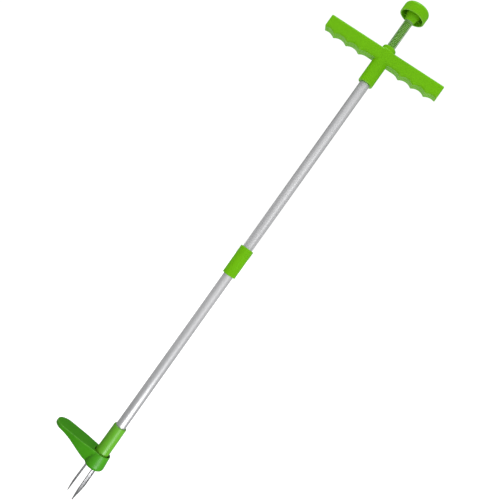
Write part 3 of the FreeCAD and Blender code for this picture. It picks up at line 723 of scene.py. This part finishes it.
# ---------------------------------------------------------------- knob, stem and spring
def knob_field(x, y, z):
    """Crowned cap, hollow below, with a wide conical boss and four recessed ribs."""
    radius = np.hypot(x, y)
    low, top = KNOB_LOW[2], KNOB_HIGH[2]
    rim = low + KNOB_BOSS_DROP
    crown = np.sqrt(radius**2 + (z - top + KNOB_CROWN_RADIUS) ** 2) - KNOB_CROWN_RADIUS
    outer = meet(meet(radius - KNOB_RADIUS, crown, KNOB_EDGE), rim - z, 0.7)
    cavity = meet(radius - KNOB_RADIUS + KNOB_WALL, z - top + KNOB_SKIN, KNOB_CAVITY_EDGE)
    cavity = meet(cavity, rim - CUT_OVERRUN - z)
    cap = take(outer, cavity, 0.5)
    taper = np.clip((z - low) / (rim + KNOB_RIB_RECESS - low), 0, 1)
    boss_radius = KNOB_BOSS_TIP + (KNOB_BOSS_ROOT - KNOB_BOSS_TIP) * taper
    boss = meet(radius - boss_radius, np.maximum(low - z, z - top + 3), 0.6)
    body = join(cap, boss, 1.6)
    u = np.abs(x + y) / math.sqrt(2)
    v = np.abs(x - y) / math.sqrt(2)
    web = np.minimum(u, v) - KNOB_RIB_HALF
    rib_ends = np.maximum(rim + KNOB_RIB_RECESS - z, z - top + 3)
    rib = meet(meet(web, radius - KNOB_RADIUS + KNOB_RIB_REACH), rib_ends)
    body = join(body, rib, 1.0)
    return take(body, cylinder(x, y, z, STEM_RADIUS + BORE_SLIP, low - 5, STEM_HIGH[2]), 0.3)


def knob():
    piece = field_piece("knob_cap_moulding", knob_field, KNOB_LOW, KNOB_HIGH, FINE_STEP)
    place(piece, "plunger", HANDLE_GREEN, "handle_green", "knob_cap")


def stem():
    outline = tube_outline(STEM_RADIUS, ROD_RADIUS + BORE_SLIP, STEM_LOW[2], STEM_HIGH[2], 0.4)
    place(lathe("plunger_stem_tube", outline, 64), "plunger", HANDLE_GREEN, "handle_green", "plunger_stem")


def spring():
    """Coil spring with closed end turns, as one swept wire."""
    wire = SPRING_WIRE_RADIUS
    mean = SPRING_HIGH[0] - wire
    low, high = SPRING_LOW[2], SPRING_HIGH[2]
    turns, closed = SPRING_TURNS, SPRING_CLOSED_TURNS
    steps, around = 32, 10
    count = int(turns * steps) + 1
    open_run = (high - low - 2 * wire - 2 * closed * 2 * wire) / (turns - 2 * closed)
    vertices = []
    for i in range(count):
        turn = i / steps
        start = min(turn, closed)
        end = max(turn - (turns - closed), 0)
        middle = turn - start - end
        z = low + wire + (start + end) * 2 * wire + middle * open_run
        angle = 2 * math.pi * turn
        outward = np.array([math.cos(angle), math.sin(angle), 0])
        for j in range(around):
            roll = 2 * math.pi * j / around
            point = outward * (mean + wire * math.cos(roll)) + np.array([0, 0, z + wire * math.sin(roll)])
            vertices.append(point)
    faces = ring_faces(count, around) + end_faces(count, around)
    piece = new_piece("return_spring_coil", vertices, faces)
    place(piece, "frame", SPRING_WIRE, "spring_steel", "return_spring")
    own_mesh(piece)


def washers():
    for node, body, low, high in (
        ("spring_seat_washer", "frame", SEAT_LOW, SEAT_HIGH),
        ("spring_top_washer", "plunger", TOP_WASHER_LOW, TOP_WASHER_HIGH),
    ):
        outline = tube_outline(high[0], STEM_RADIUS + 0.3, low[2], high[2], 0.25)
        place(lathe(node + "_ring", outline, 64), body, SPRING_WIRE, "spring_steel", node)


# ---------------------------------------------------------------- tubes, joiner and rods
def tubes():
    for node, low, high in (
        ("upper_tube", UPPER_TUBE_LOW, UPPER_TUBE_HIGH),
        ("lower_tube", LOWER_TUBE_LOW, LOWER_TUBE_HIGH),
    ):
        corner = tube_outline(TUBE_RADIUS, TUBE_BORE, low[2], high[2], 0.25)
        place(lathe(node + "_drawn", corner, 128), "frame", TUBE_METAL, "tube_aluminium", node)


def joiner_field(x, y, z):
    """Sleeve with softened ends, a stop rib inside and two screw seats at the back."""
    low, high = JOINER_LOW[2], JOINER_HIGH[2]
    middle = (low + high) / 2
    sleeve = cylinder(x, y, z, JOINER_HIGH[0], low, high, JOINER_EDGE)
    bore = np.hypot(x, y) - TUBE_RADIUS - BORE_SLIP
    rib = np.maximum(np.abs(z - middle) - JOINER_RIB / 2, TUBE_BORE - np.hypot(x, y))
    sleeve = take(sleeve, np.maximum(bore, -rib), 0.4)
    for z_low, z_high in screw_heights("joiner_screws", 2):
        seat = screw_seat(x, y, z, (z_low + z_high) / 2, JOINER_HIGH[0] - JOINER_SEAT_DEPTH)
        sleeve = take(sleeve, seat, 0.3)
    return sleeve


def screw_heights(node, count):
    """Lowest and highest Z of each screw in a node whose screws stand one above the other."""
    low, high = box_mm(node)
    size = 2 * SCREW_HEAD_RADIUS
    spacing = (high[2] - low[2] - size) / max(count - 1, 1)
    return [(low[2] + i * spacing, low[2] + i * spacing + size) for i in range(count)]


def joiner():
    piece = field_piece("joiner_sleeve_moulding", joiner_field, JOINER_LOW, JOINER_HIGH, FINE_STEP)
    sharpen(piece, 50.0)
    place(piece, "frame", HANDLE_GREEN, "handle_green", "joiner_sleeve")


def rods():
    upper_low, upper_high = box_mm("upper_push_rod")
    core = ROD_CORE_RADIUS
    for node, low, high in (
        ("upper_push_rod", upper_low[2], upper_high[2]),
        ("lower_push_rod", ROD_LOW[2], ROD_HIGH[2]),
    ):
        outline = rounded([(core, low), (ROD_RADIUS, low), (ROD_RADIUS, high), (core, high)], 0.4, 4)
        place(lathe(node + "_bar", outline, 48), "plunger", ROD_STEEL, "rod_steel", node)


# ---------------------------------------------------------------- head
def pedal_field(x, y, z):
    """Hub and step in one moulding: a cup round the socket above, and a ribbed hollow below the step."""
    low = PEDAL_LOW[2]
    radius = np.hypot(x, y)
    flare = np.clip((HUB_TOP - z) / (HUB_TOP - HUB_FLARE_Z), 0, 1)
    side = radius - (HUB_TOP_RADIUS + (HUB_LOW_RADIUS - HUB_TOP_RADIUS) * flare)
    hub = meet(meet(side, low - z, HUB_EDGE), z - HUB_TOP, 0.7)
    reach = -PEDAL_LOW[0]
    distance = np.clip(-x, 0, reach)
    top = z - HUB_TOP - PEDAL_RISE * distance / reach
    tip_centre = PEDAL_HALF_WIDTH - reach
    plan = np.where(x < tip_centre, np.hypot(x - tip_centre, y), np.abs(y)) - PEDAL_HALF_WIDTH
    lean = np.clip((z - low) / (PEDAL_HIGH[2] - low), 0, 1)
    half_top, half_low = curve(distance, PEDAL_TOP_HALVES), curve(distance, PEDAL_LOW_HALVES)
    flank = np.abs(y) - half_low - (half_top - half_low) * lean
    plan = np.maximum(np.maximum(plan, flank), x)
    under = HUB_TOP - curve(distance, PEDAL_UNDERSIDE) - z
    step = meet(meet(plan, top, 1.3), under, 1.0)
    body = join(hub, step, 1.0)
    hollow = meet(meet(plan + PEDAL_WALL, top + PEDAL_PLATE, 1.0), HUB_LOW_RADIUS - 0.5 - radius, 1.0)
    ribs = np.abs(y) - PEDAL_RIB / 2
    for rib_x in PEDAL_CROSS_RIBS:
        ribs = np.minimum(ribs, np.abs(x - rib_x) - PEDAL_RIB / 2)
    hollow = take(hollow, ribs, 0.6)
    body = take(body, hollow, 0.5)
    bore = cylinder(x, y, z, SOCKET_RADIUS + BORE_SLIP, low - OPEN_RUN, HUB_TOP + OPEN_RUN)
    cup = cylinder(x, y, z, CUP_RADIUS, HUB_TOP - CUP_DEPTH, HUB_TOP + OPEN_RUN)
    body = take(body, bore, 0.3)
    body = take(body, cup, 0.6)
    screw_low, _ = box_mm("pedal_screw")
    seat = screw_seat(x, y, z, screw_low[2] + SCREW_HEAD_RADIUS, HUB_LOW_RADIUS - SCREW_HEAD - 0.4)
    return take(body, seat, 0.4)


def curve(at, knots):
    """Smooth curve through (place, value) knots, evaluated at an array of places."""
    places, values = np.array(knots, float).T
    slopes = np.gradient(values, places)
    i = np.clip(np.searchsorted(places, at) - 1, 0, len(places) - 2)
    span = places[i + 1] - places[i]
    t = (at - places[i]) / span
    start = (1 + 2 * t) * (1 - t) ** 2 * values[i] + t * (1 - t) ** 2 * span * slopes[i]
    return start + t**2 * (3 - 2 * t) * values[i + 1] + t**2 * (t - 1) * span * slopes[i + 1]


def pedal():
    piece = field_piece("foot_pedal_moulding", pedal_field, PEDAL_LOW, PEDAL_HIGH, PEDAL_STEP)
    sharpen(piece, 50.0)
    place(piece, "frame", HEAD_GREEN, "head_green", "foot_pedal")


def socket_field(x, y, z):
    """Tapered socket with the tube's bore above and the ejector's pocket and claw grooves below."""
    low, high = SOCKET_LOW[2], SOCKET_HIGH[2]
    radius = np.hypot(x, y)
    taper = np.clip((z - HUB_TOP) / (high - HUB_TOP), 0, 1)
    outer = radius - (SOCKET_RADIUS - (SOCKET_RADIUS - SOCKET_TOP_RADIUS) * taper)
    body = meet(meet(outer, z - high, 1.1), low - z, 0.4)
    guide_low, guide_high = box_mm("lower_guide_bush")
    tube_bore = cylinder(x, y, z, TUBE_RADIUS + BORE_SLIP, guide_high[2] - 2, high + OPEN_RUN)
    pocket_top = EJECTOR_HIGH[2] + 0.5
    pocket = cylinder(x, y, z, EJECTOR_HIGH[0] + EJECTOR_SLIP, low - OPEN_RUN, pocket_top)
    body = take(body, tube_bore, 0.3)
    body = take(body, cylinder(x, y, z, GUIDE_BORE_RADIUS, guide_low[2], guide_high[2]))
    body = take(body, cylinder(x, y, z, ROD_RADIUS + 0.4, low, guide_high[2]))
    body = take(body, pocket, 0.3)
    for angle in CLAW_NODES.values():
        turn = math.radians(angle)
        along = x * math.cos(turn) + y * math.sin(turn)
        aside = np.abs(y * math.cos(turn) - x * math.sin(turn))
        shank = np.maximum(aside - CLAW_WIDTH / 2 - CLAW_SLIP, z - CLAW_TOP - CLAW_SLIP)
        head_ends = np.abs(z - CLAW_TOP + CLAW_HEAD / 2) - CLAW_HEAD / 2 - CLAW_SLIP
        head = np.maximum(aside - CLAW_HEAD_WIDTH / 2 - CLAW_SLIP, head_ends)
        groove = np.maximum(CLAW_INNER_RADIUS - CLAW_SLIP - along, np.minimum(shank, head))
        body = take(body, groove, 0.2)
    screw_low, _ = box_mm("lower_tube_screw")
    seat = screw_seat(x, y, z, screw_low[2] + SCREW_HEAD_RADIUS, SOCKET_TOP_RADIUS - 1)
    return take(body, seat, 0.3)


def claw_socket():
    piece = field_piece("claw_socket_moulding", socket_field, SOCKET_LOW, SOCKET_HIGH, FINE_STEP)
    sharpen(piece, 50.0)
    # the claw socket takes the lit copy of the head green, a painted highlight
    place(piece, "frame", SOCKET_GREEN_LIT_COPY, "head_green", "claw_socket")


def claw_section(z, half_width, inner, thickness, corner):
    """Rounded rectangle, flat sides facing in and out, at one height of a claw that points along +X."""
    centre = inner + thickness / 2
    half_depth = thickness / 2
    corner = min(corner, half_width * 0.9, half_depth * 0.9)
    points = []
    for turn, side_x, side_y in ((0, 1, 1), (90, -1, 1), (180, -1, -1), (270, 1, -1)):
        for step in range(5):
            angle = math.radians(turn + 22.5 * step)
            x = centre + side_x * (half_depth - corner) + corner * math.cos(angle)
            y = side_y * (half_width - corner) + corner * math.sin(angle)
            points.append((x, y, z))
    return points


def claws():
    """Flat strip tines: a wide head in the socket, a plain shank, and a ground point."""
    for node, angle in CLAW_NODES.items():
        low, high = box_mm(node)
        tip, top = low[2], high[2]
        shoulder = top - CLAW_HEAD
        bend = SOCKET_LOW[2]
        point_top = tip + CLAW_POINT_LENGTH
        sections = []
        for z in (top, shoulder):
            sections.append(
                claw_section(z, CLAW_HEAD_WIDTH / 2, CLAW_INNER_RADIUS, CLAW_THICKNESS, CLAW_HEAD_CORNER)
            )
        for z in (shoulder, bend):
            sections.append(
                claw_section(z, CLAW_WIDTH / 2, CLAW_INNER_RADIUS, CLAW_THICKNESS, CLAW_CORNER)
            )
        for step in range(1, 9):
            z = bend + (point_top - bend) * step / 8
            inner = CLAW_INNER_RADIUS + CLAW_SPLAY * (bend - z) / (bend - tip)
            sections.append(claw_section(z, CLAW_WIDTH / 2, inner, CLAW_THICKNESS, CLAW_CORNER))
        for step in range(1, 13):
            share = step / 12
            z = point_top + (tip - point_top) * share
            inner = CLAW_INNER_RADIUS + CLAW_SPLAY * (bend - z) / (bend - tip)
            narrowed = share**CLAW_POINT_CURVE
            half_width = CLAW_WIDTH / 2 + (CLAW_TIP_HALF_WIDTH - CLAW_WIDTH / 2) * narrowed
            thickness = CLAW_THICKNESS + (CLAW_TIP_THICKNESS - CLAW_THICKNESS) * narrowed
            sections.append(claw_section(z, half_width, inner, thickness, CLAW_CORNER))
        turn = Matrix.Rotation(math.radians(angle), 3, "Z")
        sections = [[tuple(turn @ Vector(p)) for p in section] for section in sections]
        place(loft(node + "_tine", sections), "frame", CLAW_STEEL, "claw_steel", node)


def ejector():
    low, high = EJECTOR_LOW[2], EJECTOR_HIGH[2]
    radius = EJECTOR_HIGH[0]
    recess = SCREW_HEAD_RADIUS + 0.05
    outline = rounded(
        [
            (recess, low),
            (radius - EJECTOR_BEVEL, low),
            (radius, low + EJECTOR_BEVEL),
            (radius, high),
            (ROD_RADIUS + BORE_SLIP, high),
            (ROD_RADIUS + BORE_SLIP, low + EJECTOR_FLOOR),
            (EJECTOR_SCREW_HOLE, low + EJECTOR_FLOOR),
            (EJECTOR_SCREW_HOLE, low + SCREW_HEAD),
            (recess, low + SCREW_HEAD),
        ],
        0.4,
        4,
    )
    piece = lathe("ejector_disc", outline, 72)
    place(piece, "plunger", EJECTOR_BLACK, "ejector_plastic", "ejector_plunger")


# ---------------------------------------------------------------- screws
def screw_field(x, y, z, length):
    """Pan-head screw with a cross recess: head up, its seat at z=0."""
    radius = np.hypot(x, y)
    dome = np.sqrt(radius**2 + (z + SCREW_DOME) ** 2) - SCREW_DOME - SCREW_HEAD
    head = meet(meet(radius - SCREW_HEAD_RADIUS, dome, 0.5), -z, 0.1)
    turn = np.arctan2(y, x) / (2 * math.pi)
    thread = THREAD_RADIUS - THREAD_DEPTH * np.abs(np.sin(math.pi * (z / THREAD_PITCH + turn)))
    shank = np.maximum(radius - thread, np.maximum(z - 0.2, -z - length))
    narrow = CROSS_HALF_WIDTH + CROSS_TAPER * (z - SCREW_HEAD)
    upright = np.maximum(np.abs(x) - narrow, np.abs(y) - CROSS_REACH)
    level = np.maximum(np.abs(y) - narrow, np.abs(x) - CROSS_REACH)
    cross = np.maximum(np.minimum(upright, level), SCREW_HEAD - CROSS_DEPTH - z)
    return take(np.minimum(head, shank), cross, 0.08)


def screw_mesh(length):
    low = (-SCREW_HEAD_RADIUS, -SCREW_HEAD_RADIUS, -length)
    high = (SCREW_HEAD_RADIUS, SCREW_HEAD_RADIUS, SCREW_HEAD)
    return mesh_from_field(lambda x, y, z: screw_field(x, y, z, length), low, high, SCREW_STEP)


def screw_group(node, seats, direction, length, body="frame"):
    """All the screws of one node: a seat is the point under a head, and the heads face along direction."""
    vertices, quads = screw_mesh(length)
    turn = Vector((0, 0, 1)).rotation_difference(Vector(direction)).to_matrix()
    turned = vertices @ np.array(turn).T
    all_vertices = np.concatenate([turned + np.array(seat) for seat in seats])
    all_quads = np.concatenate([quads + i * len(vertices) for i in range(len(seats))])
    piece = new_piece(node + "_fastener", all_vertices, all_quads)
    sharpen(piece, 45.0)
    place(piece, body, SCREW_STEEL, "screw_steel", node)


def screws():
    handle_low, handle_high = box_mm("handle_screws")
    seat_y = handle_high[1] - SCREW_HEAD
    seats = [(x, seat_y, HANDLE_SCREW_Z) for x in HANDLE_SCREW_XS]
    screw_group("handle_screws", seats, (0, 1, 0), seat_y - handle_low[1])
    counts = {"upper_tube_screw": 1, "joiner_screws": 2, "lower_tube_screw": 1, "pedal_screw": 1}
    for node, count in counts.items():
        low, high = box_mm(node)
        seat_y = high[1] - SCREW_HEAD
        seats = [(0, seat_y, (a + b) / 2) for a, b in screw_heights(node, count)]
        screw_group(node, seats, (0, 1, 0), seat_y - low[1])
    low, high = box_mm("ejector_screw")
    seat_z = low[2] + SCREW_HEAD
    screw_group("ejector_screw", [(0, 0, seat_z)], (0, 0, -1), high[2] - seat_z, "plunger")


def inner_parts():
    """Materials for the hidden nodes that stay as they come from the CAD model."""
    finishes = {
        "top_guide_bush": BUSH_WHITE,
        "lower_guide_bush": BUSH_WHITE,
        "rod_stop_collar": ROD_STEEL,
        "rod_coupler": ROD_STEEL,
        "collar_pin": SCREW_STEEL,
        "coupler_set_screws": SCREW_STEEL,
        "knob_nut": SCREW_STEEL,
    }
    for node, material in finishes.items():
        mesh = frame["nodes"][node].data
        mesh.materials.clear()
        mesh.materials.append(material)


# ---------------------------------------------------------------- stage, light and camera
AZIMUTH = math.radians(6.0)
ROLL = math.radians(35.5)
CAMERA_DISTANCE = 1.003
CAMERA_HEIGHT = 0.507
CAMERA_ASIDE = 0.0049
CAMERA_LENS = 43.2
RIGHT = Vector((math.cos(AZIMUTH), math.sin(AZIMUTH), 0))
BACK = Vector((math.sin(AZIMUTH), -math.cos(AZIMUTH), 0))
UP = Vector((0, 0, 1))
FLOOR_RADIUS = 30000.0
# light panel on the floor: how far it leans to the right, its near and far ends, width, height and watts
STRIP_SIDE = 0.72
STRIP_NEAR = 0.14
STRIP_FAR = 0.34
STRIP_WIDTH = 0.12
STRIP_HEIGHT = 0.004
STRIP_POWER = 1.2


def camera():
    data = bpy.data.cameras.new("camera")
    data.lens = CAMERA_LENS
    data.sensor_width = 36.0
    made = bpy.data.objects.new("camera", data)
    bpy.context.scene.collection.objects.link(made)
    place_at = BACK * CAMERA_DISTANCE + RIGHT * CAMERA_ASIDE + UP * CAMERA_HEIGHT
    rolled_up = UP * math.cos(ROLL) - RIGHT * math.sin(ROLL)
    rolled_right = RIGHT * math.cos(ROLL) + UP * math.sin(ROLL)
    turn = Matrix((rolled_right, rolled_up, BACK)).transposed()
    made.matrix_world = Matrix.Translation(place_at) @ turn.to_4x4()
    bpy.context.scene.camera = made


def floor():
    """Round pale floor, wide enough to run out of sight. It is white to the camera; its colour is darker
    near the tool as painted shade, and for all other rays it glows as painted light, more far off and most
    behind the tool.
    """
    segments = 96
    radius = FLOOR_RADIUS
    vertices = [(0, 0, 0)]
    for i in range(segments):
        angle = 2 * math.pi * i / segments
        vertices.append((radius * math.cos(angle), radius * math.sin(angle), 0))
    faces = [(0, 1 + i, 1 + (i + 1) % segments) for i in range(segments)]
    made = new_piece("studio_floor", vertices, faces)
    n = Nodes("studio_floor_white")
    length = n.node("ShaderNodeVectorMath", operation="LENGTH")
    n.link(n.place, length.inputs[0])
    # painted shade: the floor's colour darkens towards the tool, around its foot
    far = n.ramp(length.outputs["Value"], 0.12, 0.9)
    cloud = n.ramp(n.noise(0.6, 3.0), 0.3, 0.7, 0.92, 1.0)
    base = n.mix(n.math("MULTIPLY", far, cloud), (0.26, 0.26, 0.26), (0.62, 0.62, 0.62))
    seen = n.node("ShaderNodeLightPath").outputs["Is Camera Ray"]
    depth = n.node("ShaderNodeVectorMath", operation="DOT_PRODUCT")
    n.link(n.place, depth.inputs[0])
    depth.inputs[1].default_value = BACK
    # painted light: to all but camera rays the floor glows, a little far off and strongly behind the tool,
    # lighting the handle's undersides
    behind = n.ramp(depth.outputs["Value"], -1.0, -1.9, 0.0, 0.9)
    glow = n.math("MAXIMUM", seen, n.math("ADD", n.math("MULTIPLY", far, 0.25), behind))
    material = n.set(Base_Color=base, Roughness=0.9, Emission_Color=(1, 1, 1, 1), Emission_Strength=glow)
    made.data.materials.append(material)


def area_light(name, direction, distance, size, power):
    """Softbox that faces the middle of the tool from a direction in the camera's right, back, up axes."""
    offset = (RIGHT * direction[0] + BACK * direction[1] + UP * direction[2]).normalized()
    turn = offset.to_track_quat("Z", "Y").to_matrix()
    softbox(name, offset * distance + UP * CAMERA_HEIGHT, turn, size, power)


def softbox(name, place_at, turn, size, power):
    """Area light the camera doesn't see, shining along its own -Z."""
    data = bpy.data.lights.new(name, "AREA")
    data.shape = "RECTANGLE"
    data.size, data.size_y = size
    data.energy = power
    made = bpy.data.objects.new(name, data)
    bpy.context.scene.collection.objects.link(made)
    made.matrix_world = Matrix.Translation(place_at) @ turn.to_4x4()
    made.visible_camera = False


def floor_strip():
    """Narrow panel on the floor, running away from the tool, that draws one bright line up the head."""
    outward = (RIGHT * STRIP_SIDE + BACK).normalized()
    aside = UP.cross(outward)
    turn = Matrix((aside, outward, -UP)).transposed()
    middle = outward * (STRIP_NEAR + STRIP_FAR) / 2 + UP * STRIP_HEIGHT
    softbox("floor_strip", middle, turn, (STRIP_WIDTH, STRIP_FAR - STRIP_NEAR), STRIP_POWER)


def world():
    """White backdrop to the eye; for the object, a studio pale in front and aside and dark behind."""
    made = bpy.data.worlds.new("studio")
    bpy.context.scene.world = made
    made.use_nodes = True
    tree = made.node_tree
    tree.nodes.clear()
    place_out = tree.nodes.new("ShaderNodeTexCoord").outputs["Generated"]

    def along(axis):
        dot = tree.nodes.new("ShaderNodeVectorMath")
        dot.operation = "DOT_PRODUCT"
        dot.inputs[1].default_value = axis
        tree.links.new(place_out, dot.inputs[0])
        return dot.outputs["Value"]

    def span(value, low, high, low_value, high_value):
        made_range = tree.nodes.new("ShaderNodeMapRange")
        made_range.interpolation_type = "SMOOTHSTEP"
        for name, number in (
            ("From Min", low), ("From Max", high), ("To Min", low_value), ("To Max", high_value)
        ):
            made_range.inputs[name].default_value = number
        tree.links.new(value, made_range.inputs["Value"])
        return made_range.outputs["Result"]

    def add(a, b):
        total = tree.nodes.new("ShaderNodeMath")
        total.operation = "ADD"
        tree.links.new(a, total.inputs[0])
        tree.links.new(b, total.inputs[1])
        return total.outputs["Value"]

    front = span(along(BACK), -0.75, -0.25, 0.05, 0.60)
    right = span(along(RIGHT), -0.5, 0.9, 0.0, 0.24)
    glow = add(front, right)
    shaped = tree.nodes.new("ShaderNodeBackground")
    shaped.inputs["Color"].default_value = (1, 1, 1, 1)
    tree.links.new(glow, shaped.inputs["Strength"])
    plain = tree.nodes.new("ShaderNodeBackground")
    plain.inputs["Color"].default_value = (1, 1, 1, 1)
    plain.inputs["Strength"].default_value = 1.05
    choose = tree.nodes.new("ShaderNodeMixShader")
    tree.links.new(tree.nodes.new("ShaderNodeLightPath").outputs["Is Camera Ray"], choose.inputs["Fac"])
    tree.links.new(shaped.outputs["Background"], choose.inputs[1])
    tree.links.new(plain.outputs["Background"], choose.inputs[2])
    output = tree.nodes.new("ShaderNodeOutputWorld")
    tree.links.new(choose.outputs["Shader"], output.inputs["Surface"])


def studio():
    bpy.context.scene.view_settings.view_transform = "Standard"
    world()
    floor()
    area_light("key_softbox", direction=(0.55, 0.83, 0.1), distance=2.4, size=(1.2, 1.6), power=10.0)
    area_light("front_fill", direction=(-0.25, 1.0, 0.3), distance=2.6, size=(1.8, 1.6), power=7.0)
    area_light("top_fill", direction=(-0.25, 0.1, 1.0), distance=2.2, size=(0.9, 0.9), power=22.0)
    floor_strip()


handle_shells()
knob()
stem()
spring()
washers()
tubes()
joiner()
rods()
pedal()
claw_socket()
claws()
ejector()
screws()
inner_parts()
camera()
studio()
